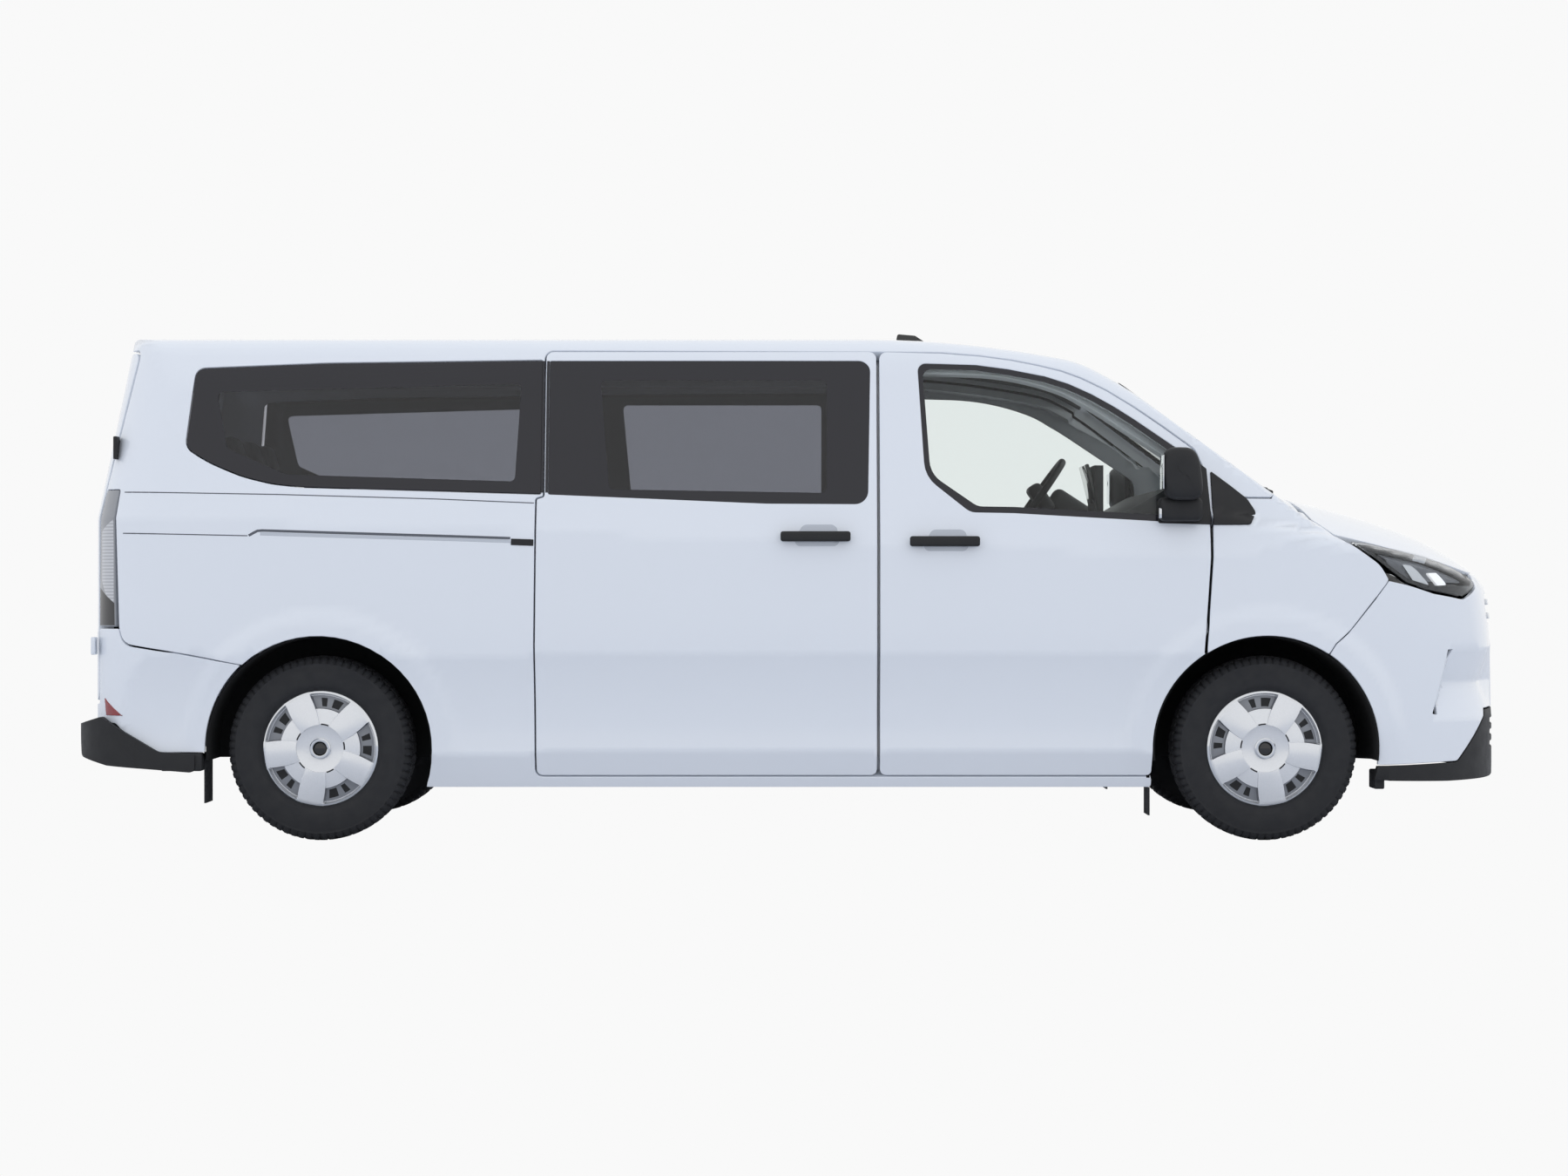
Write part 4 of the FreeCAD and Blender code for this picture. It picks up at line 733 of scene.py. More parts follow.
def tyre_rubber():
    """Carbon-black tyre rubber: dull, a little dusty on the tread."""
    made = varied(finish_of("tyre_rubber", "#242528", 0.72), 45.0, "#191A1D", "#25262A", 0.66, 0.84)
    return grain(made, 2.5, 0.12, 0.4)


def silver_lacquer():
    """Wheel covers in silver lacquer: fine flakes of 0.4 mm, drawn at 1 mm, under clear coat."""
    made = finish_of("silver_lacquer", "#E4E6EA", 0.24, 0.6, **{"Coat Weight": 0.4, "Coat Roughness": 0.1})
    material, shader, where, _ = made
    flakes = add(material, "ShaderNodeTexVoronoi", {"Vector": where, "Scale": 1000.0})
    tone = add(material, "ShaderNodeMix", {"Factor": flakes.outputs["Color"], "A": colour("#DADCE0"),
                                           "B": colour("#ECEEF1")}, data_type="RGBA")
    material.node_tree.links.new(result(tone), shader.inputs["Base Color"])
    return grain(made, 1.0, 0.01, 0.2)


def black_steel():
    """Mild steel pressings and castings in chassis black, dusty and slightly worn."""
    made = varied(finish_of("chassis_black_steel", "#2A2B2D", 0.6, 0.2), 30.0, "#222325", "#3A3B3D", 0.45,
                  0.75)
    return grain(made, 6.0, 0.1, 0.4)


def cast_iron():
    """Sand-cast iron: a dull, coarse-grained grey."""
    return grain(finish_of("sand_cast_iron", "#4A4B4C", 0.7, 0.7), 3.0, 0.3, 0.6)


def seat_cloth():
    """Woven polyester seat cloth: a 3 mm basket weave in charcoal."""
    material, shader, where, _ = finish_of("woven_polyester", "#3A3B3F", 0.9, **{"Sheen Weight": 0.3})
    bands = {"Vector": where, "Scale": 1000.0 / (3.0 * 2 * math.pi) * 2, "Distortion": 0.4}
    across = add(material, "ShaderNodeTexWave", bands, bands_direction="X")
    up = add(material, "ShaderNodeTexWave", bands, bands_direction="Z")
    weave = add(material, "ShaderNodeMath", {0: across.outputs["Fac"], 1: up.outputs["Fac"]},
                operation="MULTIPLY")
    raised = add(material, "ShaderNodeBump", {"Height": weave.outputs[0], "Strength": 0.6,
                                              "Distance": 0.0006})
    material.node_tree.links.new(raised.outputs[0], shader.inputs["Normal"])
    return material


def trim_plastic():
    """Soft-touch polypropylene trim in dark grey with a fine spark-eroded grain of about 2 mm."""
    return grain(finish_of("grained_grey_trim", "#3C3D40", 0.6), 2.0, 0.08, 0.5)


def lamp_glass():
    """Clear hard-coated polycarbonate lens."""
    return grain(finish_of("clear_polycarbonate", "#F2F5F8", 0.02, **{"Transmission Weight": 1.0,
                                                                      "IOR": 1.25}), 200.0, 0.02, 0.2, 1.0)


def red_lens():
    """Red acrylic lens, moulded with 6 mm prism cells behind its smooth face."""
    material, shader, where, _ = finish_of("red_acrylic", "#8A0710", 0.08, **{"Coat Weight": 1.0})
    cells = add(material, "ShaderNodeTexVoronoi", {"Vector": where, "Scale": 1000.0 / 6.0})
    raised = add(material, "ShaderNodeBump", {"Height": cells.outputs[0], "Strength": 0.5,
                                              "Distance": 0.0015})
    material.node_tree.links.new(raised.outputs[0], shader.inputs["Normal"])
    return material


def bright_reflector():
    """Vacuum-metallised reflector bowls: near-mirror aluminium."""
    return grain(finish_of("metallised_reflector", "#D9DCE0", 0.08, 1.0), 25.0, 0.05, 0.2)


def flap_rubber():
    """Moulded black rubber sheet."""
    return grain(finish_of("moulded_flap_rubber", "#202124", 0.65), 4.0, 0.1, 0.4)


def painted_shade_silver():
    """The same silver, darkened to paint the shade on the floor of the cover's vents."""
    return grain(finish_of("silver_lacquer_in_shade", "#8E9197", 0.4, 0.5), 1.0, 0.01, 0.2)


def shaded_white_paint():
    """The same white paint, darkened to paint the shade in the dish behind a handle and on the ledge along
    the sliding door's rail.
    """
    return grain(finish_of("sprayed_white_in_shade", "#BCC2CC", 0.35, **{"Coat Weight": 1.0}), 4.0, 0.004,
                 0.25)


def seam_shade():
    """Painted shade for the floor of a narrow seam or groove: a mid grey standing for the shade in it."""
    return grain(finish_of("painted_seam_shade", "#5C6068", 0.7), 3.0, 0.02, 0.3)


def rim_leather():
    """Grained leather on the steering wheel: 1.5 mm grain, drawn at 3 mm."""
    return grain(finish_of("grained_leather", "#242427", 0.5), 3.0, 0.12, 0.5, 2.0, "ShaderNodeTexVoronoi")


def liner_felt():
    """Wheel-arch liners of pressed polyester felt: black, matt and fibrous."""
    return grain(finish_of("pressed_polyester_felt", "#0E0F10", 0.95), 5.0, 0.4, 0.5, 6.0)


def aluminised_steel():
    """Aluminised steel pipe, dulled and stained brown by heat."""
    return varied(finish_of("aluminised_steel", "#7A7772", 0.5, 0.8), 80.0, "#6A6560", "#8A8780", 0.4,
                  0.65)[0]


def smoked_lens():
    """Smoke-grey polycarbonate over a satin grey lamp body."""
    return grain(finish_of("smoked_polycarbonate", "#86898F", 0.12, **{"Coat Weight": 1.0}), 60.0, 0.02, 0.2)


def lens_cells():
    """The lit part of the tail lamp: pale moulded bars 12 mm apart behind the smooth lens."""
    material, shader, where, _ = finish_of("barred_lamp_lens", "#B9BBC0", 0.1, **{"Coat Weight": 1.0})
    bars = add(material, "ShaderNodeTexWave", {"Vector": where, "Scale": 1000.0 / (12.0 * 20) * 2 * math.pi},
               bands_direction="Z")
    tone = add(material, "ShaderNodeMix", {"Factor": bars.outputs["Fac"], "A": colour("#A2A4AA"),
                                           "B": colour("#C6C8CD")}, data_type="RGBA")
    material.node_tree.links.new(result(tone), shader.inputs["Base Color"])
    return material


def glow_white_finish():
    """Opal white acrylic over the light source, glowing faintly. The blank number plate wears it too, where
    the glow is painted light.
    """
    glow = {"Emission Color": colour("#FFFFFF"), "Emission Strength": 0.5}
    return grain(finish_of("glowing_opal_white", "#FAFAFA", 0.3, **glow), 20.0, 0.02, 0.2)


def grey_bowl():
    """Satin dark-grey lamp bezel plastic, with a soft sheen."""
    return grain(finish_of("satin_grey_bezel", "#7B7D82", 0.35), 15.0, 0.02, 0.3)


WHITE = sprayed_white()
TINTED = privacy_glass()
CLEAR = clear_glass()
FRIT = frit()
BLACK = moulded_black()
GLOSS = gloss_black()
RUBBER = tyre_rubber()
SILVER = silver_lacquer()
STEEL = black_steel()
IRON = cast_iron()
CLOTH = seat_cloth()
SMOKE = smoked_lens()
WHITE_SHADE = shaded_white_paint()
SILVER_SHADE = painted_shade_silver()
SEAM_SHADE = seam_shade()
LEATHER = rim_leather()
LINER = liner_felt()
EXHAUST = aluminised_steel()
CELLS = lens_cells()
GLOWING_WHITE = glow_white_finish()
MIRROR_GREY = grey_bowl()
TRIM = trim_plastic()
LENS = lamp_glass()
RED = red_lens()
MIRROR = bright_reflector()
FLAP = flap_rubber()


# Lines of the doors, windows and sides
def arch_corners(axle_x, start, end, pieces):
    """Corners (x, z, 0) along a wheel arch, from one angle to another, in degrees above the hub."""
    turns = [math.radians(start + (end - start) * k / pieces) for k in range(pieces + 1)]
    return [(axle_x + ARCH_RADIUS * math.cos(a), HUB_Z + ARCH_RADIUS * math.sin(a), 0.0) for a in turns]


def arch_line(axle_x, start, end, pieces, shape):
    """A wheel arch as corners of the wrapped run."""
    return from_side(arch_corners(axle_x, start, end, pieces), shape)


def at_screen(places):
    """Corners of the body side at places (down, across) by the edge of the windscreen."""
    return on_run(on_screen(np.array(places)), cabin, [0.0] * len(places))


def ribbon(name, corners, width, depth, material, rise=0.0006):
    """A narrow strip along a line (x, z) of the flank: a seam or a groove's floor, whose colour paints the
    shade in it, or a seal.
    """
    line = np.array(corners, float)
    along = np.gradient(line, axis=0)
    along = along / np.linalg.norm(along, axis=1)[:, None]
    out = np.stack([-along[:, 1], along[:, 0]], 1) * width / 2
    ring = np.concatenate([line + out, (line - out)[::-1]])
    closed = from_side([(x, z, 0.0) for x, z in ring], cabin)
    return panel(name, "body", closed, cabin, [material], depth=depth, edge=min(0.0008, width / 4), lip=rise,
                 gap=0.0, step=0.05)


def both_ribbons(name, *rest):
    """A ribbon on the right and its mirror image on the left."""
    mirror_piece(ribbon(name + "_right", *rest), name + "_left", "body")


door_top = [(0.262, 1.821, 0.03), (0.500, 1.815, 0), (0.640, 1.804, 0), (0.760, 1.788, 0),
            (0.860, 1.768, 0), (0.945, 1.747, 0), (1.020, 1.719, 0), (1.112, 1.675, 0), (1.215, 1.612, 0),
            (1.318, 1.541, 0), (1.440, 1.452, 0.06), (1.474, 1.360, 0.3), (1.487, 1.190, 0.5),
            (1.486, 1.050, 0.6), (1.473, 0.850, 0.6), (1.461, 0.700, 0.1)]
door_arch = arch_corners(FRONT_AXLE_X, 123, 181, 16)
front_door_line = side_curve([(0.262, 0.242, 0.025)] + door_top + door_arch + [(1.270, 0.242, 0.02)], cabin)
front_window_line = side_curve([(0.405, 1.776, 0.03), (0.624, 1.770, 0), (0.745, 1.754, 0),
                                (0.883, 1.727, 0), (0.970, 1.699, 0), (1.057, 1.660, 0), (1.140, 1.614, 0),
                                (1.214, 1.567, 0), (1.380, 1.453, 0.012), (1.400, 1.178, 0.012),
                                (0.760, 1.214, 0.2), (0.598, 1.217, 0.06), (0.431, 1.350, 0.12)], cabin)
front_clear_line = side_curve([(0.425, 1.754, 0.03), (0.624, 1.748, 0), (0.740, 1.732, 0),
                               (0.873, 1.706, 0), (0.957, 1.679, 0), (1.044, 1.640, 0), (1.128, 1.593, 0),
                               (1.200, 1.547, 0), (1.350, 1.443, 0.02), (1.368, 1.205, 0.02),
                               (0.760, 1.238, 0.2), (0.625, 1.240, 0.06), (0.452, 1.360, 0.1)], cabin)
sliding_clear_line = from_side([(-0.736, 1.303, 0.02), (-0.771, 1.710, 0.02), (0.068, 1.710, 0.02),
                                (0.068, 1.290, 0.02)], cabin)
quarter_clear_line = from_side([(-1.085, 1.332, 0.02), (-1.065, 1.697, 0.02), (-2.193, 1.665, 0.02),
                                (-2.151, 1.455, 0.03), (-1.931, 1.358, 0.05)], cabin)
doors_edge = [(-1.007, 0.242, 0.025), (-1.011, 0.729, 0), (-1.005, 1.268, 0.01), (-0.977, 1.276, 0.01),
              (-0.977, 1.821, 0.03)]
sliding_door_line = from_side(doors_edge + [(0.256, 1.821, 0.03), (0.256, 0.242, 0.025)], cabin)
sliding_window_line = from_side([(-0.962, 1.283, 0.008), (-0.962, 1.785, 0.008), (0.232, 1.785, 0.045),
                                 (0.221, 1.247, 0.05), (-0.155, 1.249, 0.9)], cabin)
quarter_window_line = side_curve([(-0.987, 1.286, 0.008), (-0.987, 1.785, 0.008), (-1.787, 1.774, 2.0),
                                  (-2.272, 1.754, 0.035), (-2.303, 1.458, 0.05), (-2.219, 1.404, 0.5),
                                  (-2.090, 1.350, 0.5), (-1.977, 1.323, 0.4), (-1.873, 1.312, 0.4)], cabin)

# The body side: from the windscreen's edge to the rear doors, and from the sill to the roof panel
side_line = from_side([(1.268, 0.200, 0.01), (-1.390, 0.200, 0.01)], whole)
side_line += arch_line(REAR_AXLE_X, -20, 132, 24, whole)
side_line += from_side([(-2.530, 0.7335, 0.05), (-2.548, 0.792, 0.01), (-2.548, 1.304, 0.01)], whole)
side_line += from_end([(-0.872, 1.304, 0.01), (-0.872, 1.240, 0.3), (-0.806, 1.828, 0.04),
                       (-0.702, 1.828, 0.01)], whole, -1)
side_line += from_top([(-2.50 + 3.52 * k / 32, -ROOF_EDGE_Y, 0.0) for k in range(33)], cabin)
side_line += from_top([(1.02 + 0.13 * k / 4, -ROOF_EDGE_Y, 0.0) for k in range(1, 5)], cabin)
side_line += at_screen([(-0.374 + 0.725 * k / 16, -(0.781 + 0.075 * k / 16)) for k in range(17)])
side_line += from_side([(1.722, 1.277, 0.004), (1.604, 1.277, 0.01), (1.600, 1.180, 0.01),
                        (1.4946, 1.180, 0.0)], whole)
side_line += from_side([(1.493, 1.050, 0.3), (1.480, 0.850, 0.3), (1.468, 0.695, 0.0)], whole)
side_line += arch_line(FRONT_AXLE_X, 123, 181, 16, whole)
into_arch = [(1.530, 1.174, 0.0), (1.530, 0.620, 0.0), (1.450, 0.242, 0.0)]
one_door_hole = side_curve([(0.262, 0.242, 0.025)] + door_top[:13] + into_arch, whole)
two_door_hole = side_curve(doors_edge + door_top[1:13] + into_arch, whole)

roof_line = [(-2.52, -ROOF_EDGE_Y, 0.03), (1.02, -ROOF_EDGE_Y, 0), (1.165, -ROOF_EDGE_Y, 0.02),
             (1.165, ROOF_EDGE_Y, 0.02), (-2.52, ROOF_EDGE_Y, 0.03)]
screen_line = [(-0.366, -0.779, 0.05), (0.37, -0.853, 0.06), (0.37, 0.853, 0.06), (-0.366, 0.779, 0.05)]
screen_clear = [(-0.32, -0.735, 0.05), (0.29, -0.80, 0.06), (0.29, 0.80, 0.06), (-0.32, 0.735, 0.05)]

front_door_opening = side_curve([(0.330, 0.310, 0.08), (0.330, 1.757, 0.08), (0.885, 1.757, 1.1),
                                 (1.395, 1.420, 0.055), (1.420, 1.200, 0.9), (1.395, 0.960, 0.1),
                                 (1.150, 0.640, 0.25), (1.190, 0.310, 0.05)], cabin)
sliding_door_opening = from_side([(-0.940, 0.310, 0.08), (-0.940, 1.757, 0.08), (0.190, 1.757, 0.08),
                                  (0.190, 0.310, 0.08)], cabin)

# Doors, glass and the body round them
skins = both_panels("front_door_skin", DOORS, front_door_line, cabin, [WHITE, TRIM],
                    holes=[front_window_line], **DOOR_SKIN)
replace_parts(skins[0], "front_door_right")
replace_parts(skins[1], "front_door_left")
panes = both_panels("front_door_pane", DOORS, front_window_line, cabin, [FRIT, CLEAR, CLEAR],
                    zones=[(front_clear_line, 1)], **PANE)
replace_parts(panes[0], "front_door_glass_right")
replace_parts(panes[1], "front_door_glass_left")
sliding = panel("sliding_door_skin", "body", sliding_door_line, cabin, [WHITE, TRIM],
                holes=[sliding_window_line], **DOOR_SKIN)
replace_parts(sliding, "sliding_door_right")
right_side = panel("body_side_skin_right", "body", side_line, whole, [WHITE, TRIM],
                   holes=[two_door_hole, quarter_window_line], **SIDE_SKIN)
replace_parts(right_side, "body_side_right")
left_side = left_panel("body_side_skin_left", side_line, whole, [WHITE, TRIM],
                       holes=[one_door_hole, sliding_window_line, quarter_window_line], **SIDE_SKIN)
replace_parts(left_side, "body_side_left")
panel("door_frames_right", "body", side_line, whole, [WHITE],
      holes=[front_door_opening, sliding_door_opening, quarter_window_line], **FRAME)
left_panel("door_frames_left", side_line, whole, [WHITE],
           holes=[front_door_opening, sliding_window_line, quarter_window_line], **FRAME)
side_panes = []
for name, line, clear in (("sliding_pane", sliding_window_line, sliding_clear_line),
                          ("quarter_pane", quarter_window_line, quarter_clear_line)):
    side_panes += both_panels(name, BODY, line, cabin, [FRIT, TINTED, TINTED], zones=[(clear, 1)], **PANE)
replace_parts(side_panes[0], "side_glass")

# The quarter panel's seam, the sliding door's rail groove with its end cap, and the strips between the panes
# The seams and the rail groove are grey strips of painted shade.
both_ribbons("quarter_seam", [(-2.530, 1.2925), (-1.950, 1.283), (-1.376, 1.2665), (-1.012, 1.2515)],
             0.0042, -0.0006, SEAM_SHADE)
both_ribbons("rail_seam", [(-2.531, 1.140), (-2.300, 1.1355), (-2.066, 1.1305)], 0.0042, -0.0006, SEAM_SHADE)
both_ribbons("rail_groove", [(-2.062, 1.131), (-2.046, 1.140), (-2.030, 1.1485), (-2.012, 1.150),
                             (-1.700, 1.140), (-1.311, 1.1285), (-1.098, 1.1215)], 0.0095, -0.0008, SEAM_SHADE)
# The ledge along the rail is white darkened as painted shade.
both_ribbons("rail_ledge", [(-2.020, 1.138), (-1.700, 1.128), (-1.311, 1.117), (-1.098, 1.110)],
             0.012, -0.0007, WHITE_SHADE)
both_ribbons("rail_cap", [(-1.096, 1.108), (-1.055, 1.1065), (-1.013, 1.105)], 0.024, -0.002, BLACK, 0.002)
both_ribbons("quarter_strip", [(-0.9835, 1.290), (-0.9835, 1.500), (-0.9835, 1.783)], 0.0085, -0.0008, FRIT)
ribbon("door_strip", [(-0.9665, 1.290), (-0.9665, 1.500), (-0.9665, 1.783)], 0.0105, -0.0008, FRIT)

roof = panel("roof_skin", "body", roof_line, cabin, [WHITE, TRIM], from_above(cabin), thick=0.04, gap=0.0012,
             step=0.05)
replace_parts(roof, "roof_panel")
screen = panel("windscreen_pane", "body", screen_line, screen_depth, [FRIT, CLEAR, CLEAR], on_screen,
               thick=0.005, edge=0.001, step=0.05, zones=[(screen_clear, 1)])
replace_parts(screen, "windscreen")


# Bonnet, wings, bumper and lamps
def plan_ring(inset, turns):
    """Points of the outline seen from above, moved in, at turns in degrees from straight ahead."""
    points, middle_x = [], 1.9
    for turn in turns:
        c, d = math.cos(math.radians(turn)), -math.sin(math.radians(turn))
        low, high = 0.0, 1.5
        for _ in range(30):
            middle = (low + high) / 2
            inside = plan_depth(np.array([middle_x + c * middle]), np.array([abs(d) * middle]))[0] > inset
            low, high = (middle, high) if inside else (low, middle)
        points.append((middle_x + c * low, d * low, 0.0))
    return points


bonnet_edge = plan_ring(0.075, list(range(0, 84, 4)))
bonnet_line = bonnet_edge + [(1.952, -0.905, 0.02), (1.893, -0.740, 0.03), (1.872, -0.35, 0), (1.868, 0.0, 0)]
bonnet_line += [(x, -y, radius) for x, y, radius in bonnet_line[-2:0:-1]]
bonnet = panel("bonnet_skin", "bonnet", bonnet_line, clip, [WHITE, BLACK], from_above(clip), thick=0.022)
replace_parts(bonnet, "bonnet")

lamp_line = from_side([(1.997, 1.112, 0.006), (2.072, 1.107, 0.3), (2.292, 1.066, 0.5), (2.500, 0.972, 0.012),
                       (2.518, 0.945, 0.008), (2.454, 0.902, 0.02), (2.328, 0.923, 0.2), (2.220, 0.955, 0.06),
                       (2.120, 1.028, 0.4)], clip)
lamps = both_panels("headlamp_lens", BODY, lamp_line, clip, [LENS], thick=0.004, step=0.02, edge=0.002)
both_panels("headlamp_housing", BODY, lamp_line, clip, [GLOSS], depth=0.035, gap=0.004, edge=0.001)
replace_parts(lamps[0], "headlamps")
inner_line = [(u, v, 0.0) for u, v in grown(rounded(lamp_line, 0.02), -0.014)]
both_panels("headlamp_frame", BODY, lamp_line, clip, [GLOSS], holes=[inner_line], depth=0.0055,
            thick=0.03, step=0.02, edge=0.001, gap=0.003)


def mirrored(corners):
    """The same corners on the other side."""
    return [(-across, up, radius) for across, up, radius in corners]


def full_line(right):
    """A closed line from its right half, whose ends lie on the middle of the vehicle."""
    return right + mirrored(right[-2:0:-1])


def rectangle(half, low, high, radius):
    """Corners of a rectangle across the middle of the vehicle."""
    return [(-half, low, radius), (half, low, radius), (half, high, radius), (-half, high, radius)]


wing_line = arch_line(FRONT_AXLE_X, 122, 56.6, 20, whole)
wing_line += from_side([(1.948, 0.732, 0.0), (2.113, 0.917, 0.04), (2.151, 0.968, 0.01), (2.120, 1.024, 0.4),
                        (1.993, 1.109, 0.004)], whole)
wing_top = [(1.950, -0.915, 0.02), (1.887, -0.748, 0.03), (1.880, -0.640, 0.01), (1.792, -0.640, 0.02),
            (1.774, -0.80, 0.02), (1.735, -0.868, 0.005)]
wing_line += from_top(wing_top, whole)
wing_line += from_side([(1.722, 1.272, 0.0), (1.604, 1.272, 0.005), (1.604, 1.180, 0.01),
                        (1.4935, 1.180, 0.0), (1.4922, 1.050, 0.6), (1.4792, 0.850, 0.6),
                        (1.4680, 0.698, 0.0)], whole)
wings = both_panels("front_wing", BODY, wing_line, whole, [WHITE], thick=0.005, step=0.03, gap=0.0012)
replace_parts(wings[0], "front_wings")

cowl_line = [(1.760, -0.634, 0.01), (1.864, -0.634, 0.01), (1.863, 0.634, 0.01), (1.760, 0.634, 0.01)]
cowl_black = [(1.740, -0.70, 0), (1.806, -0.70, 0), (1.806, 0.70, 0), (1.740, 0.70, 0)]
scuttle = panel("cowl_skin", "body", cowl_line, whole, [WHITE, BLACK, BLACK], from_above(whole), thick=0.02,
                step=0.03, zones=[(cowl_black, 1)])
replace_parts(scuttle, "cowl")
bumper_right = from_top(bonnet_edge[:12], clip)
bumper_right[0] = (0.0, bumper_right[0][1], 0.0)
bumper_right += from_side([(2.500, 0.970, 0.01), (2.518, 0.945, 0.008), (2.454, 0.900, 0.02),
                           (2.328, 0.921, 0.2), (2.222, 0.953, 0.04), (2.151, 0.968, 0.006),
                           (2.113, 0.917, 0.04), (1.948, 0.732, 0.0)], clip)
bumper_right += arch_line(FRONT_AXLE_X, 56.6, -8.5, 20, clip)
valance_top = from_side([(2.153, 0.281, 0.0), (2.428, 0.290, 0.03), (2.565, 0.481, 0.015)], clip)
bumper_right += valance_top + [(0.0, 0.481, 0.0)]
grille_right = from_end([(-0.550, 0.912, 0.02), (-0.520, 0.806, 0.025)], clip, 1)
grille_line = grille_right + mirrored(grille_right[::-1])
slot_line = from_side([(2.407, 0.708, 0.003), (2.388, 0.708, 0.003), (2.322, 0.470, 0.003),
                       (2.341, 0.468, 0.003)], clip)
duct_line = from_side([(2.403, 0.712, 0), (2.520, 0.712, 0), (2.548, 0.655, 0), (2.540, 0.585, 0),
                       (2.368, 0.585, 0)], clip)
bumper = panel("front_bumper_skin", "body", full_line(bumper_right), clip, [WHITE, BLACK],
               holes=[grille_line, slot_line, mirrored(slot_line)], thick=0.004, step=0.02,
               zones=[(duct_line, 0), (mirrored(duct_line), 0)])
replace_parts(bumper, "front_bumper")
duct_back = from_side([(2.43, 0.72, 0.01), (2.37, 0.72, 0.01), (2.30, 0.455, 0.01), (2.36, 0.455, 0.01)],
                      clip)
both_panels("duct_backing", BODY, duct_back, clip, [BLACK], depth=0.03, thick=0.003)

valance_right = [(0.0, 0.481, 0.0)] + valance_top[::-1] + arch_line(FRONT_AXLE_X, -8.5, -17, 4, clip)
valance_right += from_side([(2.110, 0.222, 0.0), (2.387, 0.216, 0.05)], clip) + [(0.0, 0.226, 0.0)]
slot_z, slot_pitch, slot_high = 0.330, 0.044, 0.024
slot_lows = [slot_z + slot_pitch * index for index in range(3)]
slots = [rectangle(0.55, low, low + slot_high, 0.01) for low in slot_lows]
valance = panel("front_valance", "body", full_line(valance_right), clip, [BLACK], holes=slots, thick=0.02,
                step=0.03)
panel("valance_backing", "body", rectangle(0.62, 0.30, 0.47, 0.02), clip, [GLOSS], depth=0.05, thick=0.003)
panel("grille_backing", "body", grille_line, clip, [GLOSS], depth=0.04, thick=0.003, gap=-0.008)
bar_z, bar_pitch, bar_high = 0.818, 0.053, 0.028
for index in range(2):
    low = bar_z + bar_pitch * index
    panel("grille_bar_%d" % index, "body", rectangle(0.514, low, low + bar_high, 0.008), clip, [SILVER],
          depth=-0.006, thick=0.03, edge=0.004, lip=0.03)
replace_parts(valance, "front_trim")

# What shows through the headlamp lenses
lamp_blade = [(2.205, 1.030, 0.004), (2.243, 1.027, 0.004), (2.325, 0.945, 0.004), (2.262, 0.950, 0.004)]
lamp_light = [(2.305, 0.994, 0.003), (2.343, 0.997, 0.003), (2.390, 0.948, 0.003), (2.349, 0.946, 0.003)]
lamp_bezel = [(2.226, 0.957, 0.003), (2.325, 0.942, 0.003), (2.502, 0.948, 0.002), (2.467, 0.931, 0.01),
              (2.435, 0.906, 0.006), (2.297, 0.932, 0.1)]
lamp_bowl = [(2.120, 1.095, 0.01), (2.290, 1.058, 0.1), (2.485, 0.972, 0.01), (2.400, 0.955, 0.05),
             (2.250, 0.965, 0.05), (2.150, 1.020, 0.03)]
for name, corners, finish, down in (("lamp_blade", lamp_blade, SILVER, 0.018),
                                    ("lamp_light", lamp_light, GLOWING_WHITE, 0.010),
                                    ("lamp_bezel", lamp_bezel, GLOSS, 0.006),
                                    ("lamp_bowl", lamp_bowl, MIRROR_GREY, 0.028)):
    both_panels(name, BODY, from_side(corners, clip), clip, [finish], depth=down, thick=0.003, **FLUSH)

# The back of the body: lamps, bumper corners and the two doors
tail_line = from_side([(-2.548, 1.304, 0.006), (-2.557, 0.792, 0.006)], cabin)
tail_line += from_end([(-0.871, 0.792, 0.008), (-0.871, 1.304, 0.008)], cabin, -1)
tail_black = from_side([(-2.545, 0.868, 0), (-2.557, 0.780, 0)], cabin)
tail_black += from_end([(-0.860, 0.780, 0), (-0.860, 0.955, 0)], cabin, -1)
tail_cells = from_side([(-2.569, 1.194, 0.004), (-2.569, 0.885, 0.004), (-2.588, 0.874, 0.004)], cabin)
tail_cells += from_end([(-0.900, 0.960, 0.004), (-0.900, 1.150, 0.02)], cabin, -1)
tails = both_panels("tail_lamp", BODY, tail_line, cabin, [SMOKE, GLOSS, CELLS], depth=-0.001,
                    thick=0.03, step=0.02, edge=0.005, zones=[(tail_cells, 2), (tail_black, 1)])
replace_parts(tails[0], "tail_lamps")

corner_line = arch_line(REAR_AXLE_X, 132, 181, 14, cabin)
corner_line += from_side([(-2.227, 0.329, 0.0), (-2.432, 0.327, 0.02), (-2.565, 0.436, 0.02)], cabin)
corner_line += from_end([(-0.80, 0.430, 0.0), (-0.004, 0.430, 0.0), (-0.004, 0.510, 0.0),
                         (-0.868, 0.510, 0.01), (-0.868, 0.790, 0.01)], cabin, -1)
corner_line += from_side([(-2.548, 0.790, 0.01), (-2.530, 0.7285, 0.05)], cabin)
corners = both_panels("rear_bumper_skin", BODY, corner_line, cabin, [WHITE], thick=0.02, step=0.03)
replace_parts(corners[0], "rear_bumper")
reflector_line = from_side([(-2.520, 0.4635, 0.003), (-2.604, 0.4635, 0.003), (-2.612, 0.535, 0.003)], cabin)
both_panels("rear_reflector", BODY, reflector_line, cabin, [RED], depth=-0.003, thick=0.01, edge=0.002,
            step=0.02)

